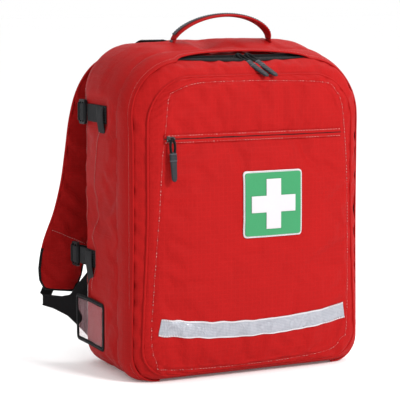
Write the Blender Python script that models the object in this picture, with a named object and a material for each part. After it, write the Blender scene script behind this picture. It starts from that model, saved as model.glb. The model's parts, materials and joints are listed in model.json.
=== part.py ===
"""A rucksack-style first aid kit: a hollow rear shell with a zipped front lid that folds down,
a front pocket, padded shoulder straps, compression straps and four pouches inside.

Metres, +Z up. The front faces -Y, the wearer's back is at +Y, and the wearer's left is at -X.
The origin is on the floor, below the middle of the rear shell's width.
"""

import math

import bmesh
import bpy
from mathutils import Matrix, Vector

GAP = 0.0003  # between neighbouring solids that touch

# Driving dimensions of the bag
HALF_WIDTH = 0.193  # at the main zip
BACK_Y = 0.095  # back panel
ZIP_Y = -0.062  # plane of the main zip
FACE_Y = -0.093  # lid's inner layer, the back of the front pocket
FRONT_Y = -0.1055  # lid's outer layer along the pocket's zip
PLATEAU_Y = -0.1125  # lid's outer layer where it bulges most
ZIP_TOP = 0.478  # top of the bag at the main zip
BAG_TOP = 0.500
TOP_RADIUS = 0.085
BOTTOM_RADIUS = 0.035
WALL = 0.003
ZIP_GAP = 0.004  # from the zip's plane to each shell's rim
HINGE_Z = 0.001

# Front face
FACE_HALF_WIDTH = 0.164
FACE_BOTTOM = 0.018
FACE_TOP = 0.443
LAYER_INSET = 0.003  # from the face's edge to the pocket and the yoke sewn on it
LAYER_ROUNDING = 0.008
PLATEAU_SIDE = 0.045  # from a layer's side to its plateau
PLATEAU_BOTTOM = 0.022
PLATEAU_TOP = 0.060
POCKET_WALL = 0.0022
POCKET_ZIP_Z = 0.364
COIL_HALF_HEIGHT = 0.0022
COIL_HALF_LENGTH = 0.149
BADGE_SIDE = 0.100
BADGE_CENTRE = (0.0235, 0.2620)
BADGE_SHEET = 0.0008
CROSS_ARM = 0.0125  # half the width of an arm
CROSS_REACH = 0.0375
REFLECTIVE_Z = 0.087
REFLECTIVE_HEIGHT = 0.026
REFLECTIVE_SAG = 0.012
REFLECTIVE_HALF_LENGTH = 0.151

# Zip sliders and pullers
SLIDER_LENGTH = 0.014
SLIDER_WIDTH = 0.0072
PULLER_WIDTH = 0.011
PULLER_LENGTH = 0.062
PULLER_THICKNESS = 0.0026
PULLER_PIVOT = 0.0025  # from a slider's face to its puller's pivot
MAIN_SLIDER_X = 0.0078
MAIN_PULLER_Y = ZIP_Y - 0.0026
MAIN_PULLER_DROOP = math.radians(34)
MAIN_PULLER_LEAN = math.radians(26)  # both pullers lie over to the same side
POCKET_SLIDER_X = -0.139
POCKET_PULLER_LEAN = math.radians(7)

# Carry handle
HANDLE_HALF_SPAN = 0.082
HANDLE_Y = 0.005
HANDLE_RISE = 0.0365
HANDLE_LEAN = 0.009  # its soft loop flops this far to the wearer's right
HANDLE_WIDTH = 0.025
HANDLE_THICKNESS = 0.0036
HANDLE_BASE_Z = 0.5037

# Side compression straps: height, the ladder lock's pivot and the front end of the webbing
WEBBING = 0.0016  # thickness of every flat strap
COMPRESSION_WIDTH = 0.028
COMPRESSION_STRAPS = {"upper": (0.394, 0.0890, -0.006), "lower": (0.169, 0.1230, 0.042)}
SIDE_X = 0.1955  # just outside the side wall
LOCK_BAR = 0.0035
LOCK_SLOT = 0.006
LOCK_WIDTH = 0.038
LOCK_THICKNESS = 0.0045
LOCK_X = SIDE_X + WEBBING + GAP + LOCK_THICKNESS / 2
ANCHOR_RADIUS = 0.0041
ANCHOR_THICKNESS = 0.0012
SEAM = (-0.1865, 0.0975)  # where straps are sewn to the back's left edge, in x and y

# Card pocket on the left side
ID_LENGTH = 0.094
ID_HEIGHT = 0.074
ID_BINDING = 0.0055
ID_FRONT = (-0.1980, 0.006, 0.0725)
ID_SLANT = math.radians(4)

# Shoulder straps
STRAP_WIDTH = 0.072
STRAP_THICKNESS = 0.013
LINING = 0.0014
LINING_GAP = 0.0008
STRAP_ROUTE = [  # centre line of the left strap, from the back panel to the lower end
    (-0.0860, 0.1045, 0.436),
    (-0.0870, 0.1100, 0.450),
    (-0.0930, 0.1220, 0.460),
    (-0.1060, 0.1350, 0.459),
    (-0.1260, 0.1470, 0.443),
    (-0.1430, 0.1560, 0.413),
    (-0.1520, 0.1630, 0.372),
    (-0.1570, 0.1690, 0.320),
    (-0.1640, 0.1720, 0.268),
    (-0.1780, 0.1710, 0.216),
    (-0.1970, 0.1670, 0.171),
    (-0.2080, 0.1600, 0.134),
    (-0.2120, 0.1555, 0.106),
]
STRAP_LOCK_PIVOT = (-0.2020, 0.1825, 0.150)
WING_TIP = (-0.2400, 0.1555)  # in x and y

COLOURS = {
    "red_fabric": ((0.52, 0.015, 0.02), 0.75, 0.0),
    "black_mesh": ((0.02, 0.02, 0.022), 0.9, 0.0),
    "grey_webbing": ((0.06, 0.065, 0.07), 0.8, 0.0),
    "black_webbing": ((0.02, 0.022, 0.024), 0.8, 0.0),
    "buckle_plastic": ((0.035, 0.037, 0.04), 0.4, 0.0),
    "slider_metal": ((0.03, 0.03, 0.03), 0.35, 0.6),
    "puller_rubber": ((0.09, 0.095, 0.1), 0.55, 0.0),
    "clear_vinyl": ((0.8, 0.8, 0.82), 0.1, 0.0),
    "badge_white": ((0.85, 0.86, 0.88), 0.4, 0.0),
    "badge_green": ((0.03, 0.42, 0.16), 0.4, 0.0),
    "reflective": ((0.6, 0.62, 0.66), 0.3, 0.2),
    "stiffener": ((0.7, 0.7, 0.68), 0.5, 0.0),
    "pouch_fabric": ((0.5, 0.02, 0.025), 0.75, 0.0),
}
MATERIALS = {}


def clear_scene():
    for obj in list(bpy.data.objects):
        bpy.data.objects.remove(obj)


def material(name):
    if name not in MATERIALS:
        colour, roughness, metallic = COLOURS[name]
        made = bpy.data.materials.new(name)
        made.use_nodes = True
        shader = made.node_tree.nodes["Principled BSDF"]
        shader.inputs["Base Color"].default_value = (*colour, 1)
        shader.inputs["Roughness"].default_value = roughness
        shader.inputs["Metallic"].default_value = metallic
        MATERIALS[name] = made
    return MATERIALS[name]


def add_mesh(name, points, faces, finish, smooth_degrees=35):
    """A closed mesh object whose faces point out."""
    mesh = bpy.data.meshes.new(name)
    mesh.from_pydata([tuple(p) for p in points], [], faces)
    shape = bmesh.new()
    shape.from_mesh(mesh)
    bmesh.ops.recalc_face_normals(shape, faces=shape.faces)
    shape.to_mesh(mesh)
    shape.free()
    mesh.shade_smooth()
    mesh.set_sharp_from_angle(angle=math.radians(smooth_degrees))
    mesh.materials.append(material(finish))
    obj = bpy.data.objects.new(name, mesh)
    bpy.context.scene.collection.objects.link(obj)
    return obj


def loft(name, rings, finish):
    """A solid through rings of equally many points, closed by a face at each end."""
    count = len(rings[0])
    points = [p for ring in rings for p in ring]
    faces = [list(range(count)), list(range(len(points) - count, len(points)))]
    for first in range(0, len(points) - count, count):
        for i in range(count):
            j = (i + 1) % count
            faces.append([first + i, first + j, first + count + j, first + count + i])
    return add_mesh(name, points, faces, finish)


def box(name, low, high, finish, bevel=0.0):
    corners = [(low[0], low[1]), (high[0], low[1]), (high[0], high[1]), (low[0], high[1])]
    obj = loft(name, [[(x, y, z) for x, y in corners] for z in (low[2], high[2])], finish)
    if bevel:
        modifier = obj.modifiers.new("round_edges", "BEVEL")
        modifier.width = bevel
        modifier.segments = 2
    return obj


def arc(centre, radius, start_degrees, end_degrees, steps):
    step = (end_degrees - start_degrees) / steps
    angles = [math.radians(start_degrees + i * step) for i in range(steps + 1)]
    return [(centre[0] + radius * math.cos(a), centre[1] + radius * math.sin(a)) for a in angles]


def rounded_rectangle(half_width, half_height, radius, steps=3, centre=(0, 0)):
    points = []
    for sx, sy, start in ((1, -1, -90), (1, 1, 0), (-1, 1, 90), (-1, -1, 180)):
        corner = (centre[0] + sx * (half_width - radius), centre[1] + sy * (half_height - radius))
        points += arc(corner, radius, start, start + 90, steps)
    return points


def bag_outline(half_width, bottom, top, inset=0.0,
                top_radius=TOP_RADIUS, bottom_radius=BOTTOM_RADIUS, crown=0.0):
    """The bag's outline as (x, z), anticlockwise from the bottom right, with a crowned top edge."""
    w, low, high = half_width - inset, bottom + inset, top - inset
    rt, rb = top_radius - inset, bottom_radius - inset
    points = arc((w - rb, low + rb), rb, -90, 0, 4)
    points += arc((w - rt, high - rt), rt, 0, 90, 6)
    points += [((w - rt) * s, high + crown * (1 - s * s)) for s in (0.67, 0.33, 0.0, -0.33, -0.67)]
    points += arc((rt - w, high - rt), rt, 90, 180, 6)
    points += arc((rb - w, low + rb), rb, 180, 270, 4)
    return points


def at_y(outline, y):
    return [(x, y, z) for x, z in outline]


def tray(name, outer, inner, finish):
    """A shell through its outer rings from rim to floor, then its inner rings from floor to rim."""
    rings = outer + inner[::-1]
    count = len(rings[0])
    points = [p for ring in rings for p in ring]
    faces = []
    for k in range(len(rings)):
        if k == len(outer) - 1:
            faces.append([k * count + i for i in range(count)])
            faces.append([(k + 1) * count + i for i in range(count)])
            continue
        after = (k + 1) % len(rings)
        for i in range(count):
            j = (i + 1) % count
            faces.append([k * count + i, k * count + j, after * count + j, after * count + i])
    return add_mesh(name, points, faces, finish)


def prism(name, outline, y_low, y_high, finish):
    """An (x, z) outline extruded along Y."""
    return loft(name, [at_y(outline, y_low), at_y(outline, y_high)], finish)


def plate(name, loops, thickness, frame, finish):
    """A flat plate in its own XY plane, whose first loop is the outline and the others holes."""
    curve = bpy.data.curves.new(name, "CURVE")
    curve.dimensions = "2D"
    curve.fill_mode = "BOTH"
    curve.extrude = thickness / 2
    for loop in loops:
        spline = curve.splines.new("POLY")
        spline.points.add(len(loop) - 1)
        for point, (x, y) in zip(spline.points, loop):
            point.co = (x, y, 0, 1)
        spline.use_cyclic_u = True
    curve.materials.append(material(finish))
    obj = bpy.data.objects.new(name, curve)
    bpy.context.scene.collection.objects.link(obj)
    obj.matrix_world = frame
    return obj


def axes(origin, x_axis, y_axis):
    """The matrix that puts a plate's own X and Y along two directions at a point."""
    x = Vector(x_axis).normalized()
    y = (Vector(y_axis) - Vector(y_axis).dot(x) * x).normalized()
    z = x.cross(y)
    return Matrix.Translation(origin) @ Matrix((x, y, z)).transposed().to_4x4()


def smooth_route(points, steps):
    """Points on a Catmull-Rom curve through a route's own points."""
    known = [Vector(p) for p in points]
    known = [2 * known[0] - known[1], *known, 2 * known[-1] - known[-2]]
    made = []
    for a, b, c, d in zip(known, known[1:], known[2:], known[3:]):
        for i in range(steps):
            t = i / steps
            made.append(0.5 * (2 * b + (c - a) * t + (2 * a - 5 * b + 4 * c - d) * t * t
                               + (3 * b - a - 3 * c + d) * t ** 3))
    return [*made, known[-2]]


def sweep(name, route, section, across, finish, scales=None, first=0):
    """A section of (across, through) points swept along a route from one of its points to its end.

    The section's first axis is kept near a direction, and its width may be scaled at each point."""
    rings = []
    for i, point in enumerate(route):
        scale = scales[i] if scales else 1.0
        along = (route[min(i + 1, len(route) - 1)] - route[max(i - 1, 0)]).normalized()
        wide = (Vector(across) - Vector(across).dot(along) * along).normalized()
        thick = along.cross(wide)
        rings.append([point + wide * (u * scale) + thick * v for u, v in section])
    return loft(name, rings[first:], finish)


def ribbon(name, route, width, across, finish, thickness=WEBBING):
    section = [(-width / 2, -thickness / 2), (width / 2, -thickness / 2),
               (width / 2, thickness / 2), (-width / 2, thickness / 2)]
    return sweep(name, [Vector(p) for p in route], section, across, finish)


def mirrored(side, point):
    """A point of the left side (-1) or its mirror image on the right (1)."""
    return Vector((-side * point[0], point[1], point[2]))


# Shells and what they hold ---------------------------------------------------------------------


def rear_rings(inset):
    stations = [
        (ZIP_Y + ZIP_GAP, HALF_WIDTH, 0.0, ZIP_TOP, TOP_RADIUS, 0.0),
        (-0.030, 0.1945, 0.0, 0.492, 0.083, 0.003),
        (0.020, 0.1945, 0.0, BAG_TOP, 0.078, 0.004),
        (0.070, 0.1920, 0.0, 0.497, 0.073, 0.004),
        (0.088 - inset, 0.1880, 0.0, 0.491, 0.070, 0.003),
        (BACK_Y - inset, 0.1820, 0.006, 0.484, 0.066, 0.002),
    ]
    return [at_y(bag_outline(w, low, high, inset, radius, crown=crown), y)
            for y, w, low, high, radius, crown in stations]


def rear_shell():
    return tray("rear_shell", rear_rings(0.0), rear_rings(WALL), "red_fabric")


def lid_rings(inset):
    stations = [
        (ZIP_Y - ZIP_GAP, HALF_WIDTH - 0.001, 0.0015, ZIP_TOP - 0.001, TOP_RADIUS, BOTTOM_RADIUS),
        (-0.0750, 0.1895, 0.003, 0.474, 0.083, 0.036),
        (-0.0840 + inset / 2, 0.182, 0.007, 0.466, 0.078, 0.038),
        (-0.0900 + inset, 0.173, 0.012, 0.456, 0.073, 0.041),
        (FACE_Y + inset, FACE_HALF_WIDTH, FACE_BOTTOM, FACE_TOP, 0.066, 0.045),
    ]
    return [at_y(bag_outline(w, low, high, inset, rt, rb), y) for y, w, low, high, rt, rb in stations]


def lid_shell():
    return tray("lid_shell", lid_rings(0.0), lid_rings(WALL), "red_fabric")


def zip_tape(name, y_low, y_high):
    """Half of the main zip, an arch inside the shells' edges from one bottom corner to the other."""
    outer, inner = (bag_outline(HALF_WIDTH - 0.001, 0.0015, ZIP_TOP - 0.001, WALL + inset)[4:-4]
                    for inset in (0.0040, 0.0052))
    rings = [[(ox, y_low, oz), (ox, y_high, oz), (ix, y_high, iz), (ix, y_low, iz)]
             for (ox, oz), (ix, iz) in zip(outer, inner)]
    return loft(name, rings, "black_webbing")


def rain_flap():
    """The strip of fabric that covers the main zip, drawn back and up over the sliders at the top."""
    full, none = 0.086, 0.119  # from the middle to where the flap is still drawn back, and where it is not
    rings = []
    for x, z in bag_outline(HALF_WIDTH + 0.001, 0.0, ZIP_TOP + 0.001)[4:-4]:
        t = min(1.0, max(0.0, (none - abs(x)) / (none - full))) if z > ZIP_TOP / 2 else 0.0
        lift = t * t * (3 - 2 * t)
        outward = Vector((x, z - 0.2)).normalized()
        low = Vector((x, z)) + outward * (0.0006 + 0.0065 * lift)
        root = Vector((x, z)) + outward * (0.0045 + 0.0045 * lift)
        high, top = low + outward * 0.0012, root + outward * 0.0012
        front, back = -0.071 + 0.0135 * lift, -0.048
        rings.append([(low.x, front, low.y), (root.x, back, root.y),
                      (top.x, back, top.y), (high.x, front, high.y)])
    return loft("rain_flap", rings, "red_fabric")


def back_panel():
    """The stiff sheet inside the back, and the two mesh pads that the wearer leans on."""
    sheet = rounded_rectangle(0.160, 0.212, 0.03, centre=(0, 0.245))
    prism("frame_sheet", sheet, 0.0890, 0.0914, "stiffener")
    pad = rounded_rectangle(0.118, 0.110, 0.03, centre=(0, 0.300))
    crest = rounded_rectangle(0.108, 0.100, 0.025, centre=(0, 0.300))
    loft("back_pad", [at_y(pad, BACK_Y + GAP), at_y(pad, 0.103), at_y(crest, 0.109)], "black_mesh")
    lumbar = rounded_rectangle(0.150, 0.070, 0.03, centre=(0, 0.112))
    crest = rounded_rectangle(0.138, 0.056, 0.025, centre=(0, 0.112))
    loft("lumbar_pad", [at_y(lumbar, BACK_Y + GAP), at_y(lumbar, 0.106), at_y(crest, 0.115)], "black_mesh")


def pouches():
    """Four pouches with clear windows, two on the bag's floor and two on a shelf."""
    box("inner_shelf", (-0.182, 0.012, 0.2270), (0.182, 0.0882, 0.2300), "red_fabric")
    for row, low, high in (("lower", 0.0040, 0.2240), ("upper", 0.2305, 0.4560)):
        for side, centre in (("left", -0.088), ("right", 0.088)):
            name, middle, half = f"pouch_{row}_{side}", (low + high) / 2, (high - low) / 2
            shape = rounded_rectangle(0.080, half, 0.024, centre=(centre, middle))
            front = rounded_rectangle(0.076, half - 0.004, 0.020, centre=(centre, middle))
            loft(name, [at_y(shape, 0.0860), at_y(shape, 0.0200), at_y(front, 0.0160)], "pouch_fabric")
            pane = rounded_rectangle(0.064, half - 0.017, 0.012, centre=(centre, middle))
            prism(name + "_window", pane, 0.0147, 0.0157, "clear_vinyl")


# Front face ----------------------------------------------------------------------------------------

LAYER_HALF_WIDTH = FACE_HALF_WIDTH - LAYER_INSET
SLOPE_FOOT = LAYER_HALF_WIDTH - LAYER_ROUNDING
SLOPE_HEAD = LAYER_HALF_WIDTH - PLATEAU_SIDE


def front_y(x):
    """The outer layer's surface at a distance from the middle, above its rounded bottom corners."""
    climbed = (SLOPE_FOOT - abs(x)) / (SLOPE_FOOT - SLOPE_HEAD)
    return FRONT_Y + (PLATEAU_Y - FRONT_Y) * min(1.0, max(0.0, climbed))


def front_pocket():
    """The pocket's outer layer, a bulging tray on the lid's face that is open at the zip along its top."""
    top = POCKET_ZIP_Z - COIL_HALF_HEIGHT - GAP

    def ring(y, side, bottom, drop):
        low, w, r = FACE_BOTTOM + LAYER_INSET + bottom, LAYER_HALF_WIDTH - side, 0.041 - bottom
        points = arc((w - r, low + r), r, -90, 0, 4) + [(w, top - drop), (-w, top - drop)]
        return at_y(points + arc((r - w, low + r), r, 180, 270, 4), y)

    shell = loft("front_pocket", [
        ring(FACE_Y - GAP, 0.0, 0.0, 0.0),
        ring(-0.1005, 0.001, 0.001, 0.0),
        ring(FRONT_Y, LAYER_ROUNDING, LAYER_ROUNDING, 0.0),
        ring(PLATEAU_Y, PLATEAU_SIDE, PLATEAU_BOTTOM, PLATEAU_TOP),
    ], "red_fabric")
    wall = POCKET_WALL
    cutter = loft("pocket_hollow_cutter", [
        ring(FACE_Y + 0.01, wall, wall, -0.001),
        ring(-0.0998, 0.001 + wall, 0.001 + wall, -0.001),
        ring(FRONT_Y + wall, LAYER_ROUNDING + 0.0012, LAYER_ROUNDING + 0.0012, -0.001),
        ring(PLATEAU_Y + wall, PLATEAU_SIDE + 0.0010, PLATEAU_BOTTOM + 0.0010, PLATEAU_TOP),
    ], "red_fabric")
    cutter.hide_render = True
    cutter.display_type = "WIRE"
    cut = shell.modifiers.new("hollow", "BOOLEAN")
    cut.operation = "DIFFERENCE"
    cut.object = cutter
    return shell


def front_yoke():
    """The padded panel of the outer layer above the pocket's zip."""
    bottom = POCKET_ZIP_Z + COIL_HALF_HEIGHT + GAP

    def ring(y, side, drop, rise, r):
        w, high = LAYER_HALF_WIDTH - side, FACE_TOP - LAYER_INSET - drop
        points = [(-w, bottom + rise), (w, bottom + rise)] + arc((w - r, high - r), r, 0, 90, 6)
        return at_y(points + arc((r - w, high - r), r, 90, 180, 6), y)

    return loft("front_yoke", [
        ring(FACE_Y - GAP, 0.0, 0.0, 0.0, 0.062),
        ring(-0.1005, 0.001, 0.001, 0.0, 0.061),
        ring(FRONT_Y, LAYER_ROUNDING, LAYER_ROUNDING, 0.0, 0.054),
        ring(-0.1110, 0.060, 0.022, 0.032, 0.015),
    ], "red_fabric")


def puller(name, frame):
    """A cord loop and a moulded grip in one flat outline, hanging along its own X from its pivot."""
    half, neck = PULLER_WIDTH / 2, 0.0032
    outline = [(-0.0013, -neck), (0.016, -neck), (0.019, -half), (0.026, -half), (0.029, 0.0010 - half)]
    outline += arc((PULLER_LENGTH - 0.0040, 0), 0.0040, -90, 90, 6)
    outline += [(0.029, half - 0.0010), (0.026, half), (0.019, half), (0.016, neck), (-0.0013, neck)]
    return plate(name, [outline], PULLER_THICKNESS, frame, "puller_rubber")


def pocket_zip():
    coil = box("pocket_zip_coil", (-COIL_HALF_LENGTH, FRONT_Y, POCKET_ZIP_Z - COIL_HALF_HEIGHT),
               (COIL_HALF_LENGTH, -0.0985, POCKET_ZIP_Z + COIL_HALF_HEIGHT), "black_webbing")
    x, back, front = POCKET_SLIDER_X, FRONT_Y - 0.0008, FRONT_Y - 0.0038
    slider = box("pocket_zip_slider", (x - SLIDER_LENGTH / 2, front, POCKET_ZIP_Z - 0.0046),
                 (x + SLIDER_LENGTH / 2, back, POCKET_ZIP_Z + 0.0046), "slider_metal", 0.0008)
    along = (0, -math.sin(POCKET_PULLER_LEAN), -math.cos(POCKET_PULLER_LEAN))
    pull = puller("pocket_zip_puller", axes((x, front - PULLER_PIVOT, POCKET_ZIP_Z), along, (1, 0, 0)))
    return coil, slider, pull


def badge():
    """The white-edged green badge with its cross, three sheets on the front's plateau."""
    (cx, cz), half = BADGE_CENTRE, BADGE_SIDE / 2
    layers = [PLATEAU_Y - GAP - k * (BADGE_SHEET + GAP) for k in range(3)]
    backing = rounded_rectangle(half, half, 0.006, centre=BADGE_CENTRE)
    field = rounded_rectangle(half - 0.0022, half - 0.0022, 0.004, centre=BADGE_CENTRE)
    a, r = CROSS_ARM, CROSS_REACH
    cross = [(cx + u, cz + v) for u, v in ((a, -r), (a, -a), (r, -a), (r, a), (a, a), (a, r),
                                           (-a, r), (-a, a), (-r, a), (-r, -a), (-a, -a), (-a, -r))]
    return [prism(name, outline, y - BADGE_SHEET, y, finish) for name, outline, y, finish in (
        ("badge_backing", backing, layers[0], "badge_white"),
        ("badge_field", field, layers[1], "badge_green"),
        ("badge_cross", cross, layers[2], "badge_white"),
    )]


def reflective_strip():
    end = REFLECTIVE_HALF_LENGTH
    columns = [-end, -SLOPE_HEAD, -0.08, -0.04, 0.0, 0.04, 0.08, SLOPE_HEAD, end]
    rings = []
    for x in columns:
        middle = REFLECTIVE_Z - REFLECTIVE_SAG * (1 - (x / end) ** 2)
        low, high = middle - REFLECTIVE_HEIGHT / 2, middle + REFLECTIVE_HEIGHT / 2
        inner, outer = front_y(x) - GAP, front_y(x) - GAP - BADGE_SHEET
        rings.append([(x, outer, low), (x, outer, high), (x, inner, high), (x, inner, low)])
    return loft("reflective_strip", rings, "reflective")


def main_sliders():
    """Two sliders that meet at the top of the main zip, each with a puller lying over the lid's edge."""
    bottom, top = ZIP_TOP - 0.001 - WALL + GAP, ZIP_TOP + 0.0025
    made = []
    for side, name in ((-1, "left"), (1, "right")):
        x = side * MAIN_SLIDER_X
        slider = box(f"main_zip_slider_{name}", (x - SLIDER_LENGTH / 2, ZIP_Y - SLIDER_WIDTH / 2, bottom),
                     (x + SLIDER_LENGTH / 2, ZIP_Y + SLIDER_WIDTH / 2, top), "slider_metal", 0.0008)
        down = Vector((0, -math.cos(MAIN_PULLER_DROOP), -math.sin(MAIN_PULLER_DROOP)))
        along = down * math.cos(MAIN_PULLER_LEAN) + Vector((math.sin(MAIN_PULLER_LEAN), 0, 0))
        pivot = (x, MAIN_PULLER_Y, top + PULLER_PIVOT)
        pull = puller(f"main_zip_puller_{name}", axes(pivot, along, (1, 0, 0)))
        move_origin(slider, (x, ZIP_Y, top))
        ride(slider, pull)
        made.append(slider)
    return made


# Handle, side straps and card pocket -------------------------------------------------------------------


def handle_route(offset, start_degrees=0.0):
    """Points up one leg, over the top and down the other, offset outwards from the handle's middle."""
    route = []
    for i in range(19):
        angle = math.radians(start_degrees + (180 - 2 * start_degrees) * i / 18)
        rise = HANDLE_RISE * math.sin(angle) ** 1.2
        x = HANDLE_LEAN * math.sin(angle) - (HANDLE_HALF_SPAN + offset) * math.cos(angle)
        route.append(Vector((x, HANDLE_Y, HANDLE_BASE_Z + rise + offset)))
    return route


def top_handle():
    """A padded webbing loop, pinched where it is sewn to the bag so that it folds flat both ways."""
    def band(width, thickness):
        u, v = width / 2, thickness / 2
        return [(-u, -v), (u, -v), (u, v), (-u, v)]
    route = handle_route(0.0)
    scales = [min(1.0, 0.38 + 0.62 * (p.z - HANDLE_BASE_Z) / 0.017) for p in route]
    loop = sweep("top_handle", route, band(HANDLE_WIDTH, HANDLE_THICKNESS), (0, 1, 0), "red_fabric", scales)
    offset = HANDLE_THICKNESS / 2 + 0.0006 + GAP
    line = handle_route(offset, 20.0)
    stripe = sweep("handle_webbing", line, band(0.012, 0.0012), (0, 1, 0), "grey_webbing")
    move_origin(loop, (0, HANDLE_Y, HANDLE_BASE_Z))
    ride(loop, stripe)


def ladder_lock(name, frame):
    """A three-bar buckle, its own X running from its pivot bar along the strap and its own Y across it."""
    half, length, start = LOCK_WIDTH / 2, 3 * LOCK_BAR + 2 * LOCK_SLOT, -LOCK_BAR / 2
    outer = rounded_rectangle(length / 2, half, 0.004, 2, (start + length / 2, 0))
    middles = [start + LOCK_BAR + LOCK_SLOT / 2 + k * (LOCK_BAR + LOCK_SLOT) for k in (0, 1)]
    slots = [rounded_rectangle(LOCK_SLOT / 2, half - 0.0035, 0.001, 1, (x, 0)) for x in middles]
    return plate(name, [outer, *slots], LOCK_THICKNESS, frame, "buckle_plastic")


def compression_strap(side, height):
    """A loop sewn to the back's edge, a ladder lock that pivots in it, and webbing whose tail turns down."""
    z, pivot_y, front = COMPRESSION_STRAPS[height]
    name, half = f"{height}_{'left' if side < 0 else 'right'}", COMPRESSION_WIDTH / 2
    pivot = Vector((-LOCK_X, pivot_y, z))
    seam = Vector((SEAM[0], SEAM[1], z))
    bearing = math.degrees(math.atan2(seam.y - pivot.y, seam.x - pivot.x))
    turn = arc(pivot.xy, ANCHOR_RADIUS, bearing + 35, bearing + 325, 8)
    loop = [seam] + [Vector((x, y, z)) for x, y in turn]
    ribbon(f"compression_anchor_{name}", [mirrored(side, p) for p in loop], COMPRESSION_WIDTH, (0, 0, 1),
           "black_webbing", ANCHOR_THICKNESS)
    ladder_lock(f"ladder_lock_{name}", axes(mirrored(side, pivot), (0, -1, 0), (0, 0, side)))
    rear = pivot_y - ANCHOR_RADIUS - ANCHOR_THICKNESS - LOCK_BAR
    outline = [(rear, -half), (rear, half), (front, half), (front, -0.024), (front + 0.024, -0.030),
               (front + 0.024, -half)]
    plane = axes((side * (SIDE_X + WEBBING / 2), 0, z), (0, 1, 0), (0, 0, 1))
    plate(f"compression_webbing_{name}", [outline], WEBBING, plane, "grey_webbing")


def id_pocket():
    """A clear card pocket in a black binding, hinged along the front edge that is sewn to the left side."""
    length, height = ID_LENGTH / 2, ID_HEIGHT / 2
    place = axes(ID_FRONT, (-math.sin(ID_SLANT), math.cos(ID_SLANT), 0), (0, 0, 1))
    outer = rounded_rectangle(length, height, 0.002, 1, (length, 0))
    inner = rounded_rectangle(length - ID_BINDING, height - ID_BINDING, 0.001, 1, (length, 0))
    frame = plate("id_pocket_frame", [outer, inner], 0.0024, place, "black_webbing")
    pane = rounded_rectangle(length - ID_BINDING - GAP, height - ID_BINDING - GAP, 0.001, 1, (length, 0))
    notch = arc((length, 0.010), 0.0045, 0, 330, 11)
    window = plate("id_pocket_window", [pane, notch], 0.0008, place, "clear_vinyl")
    ride(frame, window)


# Shoulder straps --------------------------------------------------------------------------------------


def shoulder_strap(side):
    """A padded strap with its mesh lining, the lock and webbing at its lower end, its yoke and its wing."""
    name = "left" if side < 0 else "right"
    route = [mirrored(side, p) for p in smooth_route(STRAP_ROUTE, 2)]
    scales = [0.36, 0.56, 0.78, 0.94] + [1.0] * (len(route) - 7) + [0.97, 0.88, 0.64]
    half, thick = STRAP_WIDTH / 2, STRAP_THICKNESS / 2
    section = [(-half, -0.35 * thick), (-0.8 * half, -thick), (0.8 * half, -thick), (half, -0.35 * thick),
               (half, 0.35 * thick), (0.8 * half, thick), (-0.8 * half, thick), (-half, 0.35 * thick)]
    pad = sweep(f"shoulder_strap_{name}", route, section, (1, 0, 0), "red_fabric", scales)
    near, far = -thick - LINING_GAP, -thick - LINING_GAP - LINING
    cover = [(-0.76 * half, near), (0.76 * half, near), (0.76 * half, far), (-0.76 * half, far)]
    past_bend = 5  # rings of the strap above the tight bend over its yoke, where the lining starts
    lining = sweep(f"strap_lining_{name}", route, cover, (1, 0, 0), "black_mesh", scales, past_bend)

    pivot = Vector(STRAP_LOCK_PIVOT)
    lock = ladder_lock(f"strap_lock_{name}", axes(mirrored(side, pivot), (0, 0, -1), (1, 0, 0)))
    loop = [pivot + Vector((0, v, u)) for u, v in arc((0, 0), ANCHOR_RADIUS, 260, 10, 8)]
    loop = [pivot + Vector((0, -0.0066, 0.0175))] + loop
    holder = ribbon(f"strap_lock_loop_{name}", [mirrored(side, p) for p in loop], 0.026, (1, 0, 0),
                    "black_webbing", ANCHOR_THICKNESS)
    run = smooth_route([(-0.2340, 0.1610, 0.096), (-0.2240, 0.1685, 0.109), (-0.2110, 0.1750, 0.122),
                        (-0.2030, 0.1786, 0.135)], 3)
    webbing = ribbon(f"adjust_webbing_{name}", [mirrored(side, p) for p in run], 0.020,
                     (1, 0, 0.5 * side), "black_webbing")
    move_origin(pad, mirrored(side, STRAP_ROUTE[0]))
    ride(pad, lining, lock, holder, webbing)

    yoke = [(0.0968, 0.462), (0.0968, 0.4856), (0.0890, 0.4943), (0.0700, 0.5008), (0.0560, 0.5018)]
    over = [mirrored(side, (-0.0885, y, z)) for y, z in yoke]
    ribbon(f"strap_yoke_{name}", over, 0.042, (1, 0, 0), "grey_webbing")
    strap_wing(side, name)


def strap_wing(side, name):
    """The upright triangle of fabric from the back's lower edge out to the end of the adjusting webbing."""
    root, tip = mirrored(side, (*SEAM, 0)), mirrored(side, (*WING_TIP, 0))
    reach = (tip - root).length
    outline = [(0.0, 0.040), (0.012, 0.051), (0.035, 0.070), (0.060, 0.080), (reach, 0.084), (reach, 0.0995),
               (0.045, 0.0985), (0.030, 0.102), (0.015, 0.122), (0.0, 0.140)]
    plate(f"strap_wing_{name}", [outline], 0.0022, axes(root, tip - root, (0, 0, 1)), "grey_webbing")


# Joining it up ----------------------------------------------------------------------------------------


def move_origin(obj, point):
    """Moves a mesh's origin, which is where it turns, to a point and leaves its shape in place."""
    obj.data.transform(Matrix.Translation(-Vector(point)))
    obj.location = point


def ride(carrier, *riders):
    """Makes the riders move with their carrier, which is not turned or scaled at rest."""
    bpy.context.view_layer.update()
    for rider in riders:
        rider.parent = carrier
        rider.matrix_parent_inverse = carrier.matrix_world.inverted()


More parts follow.
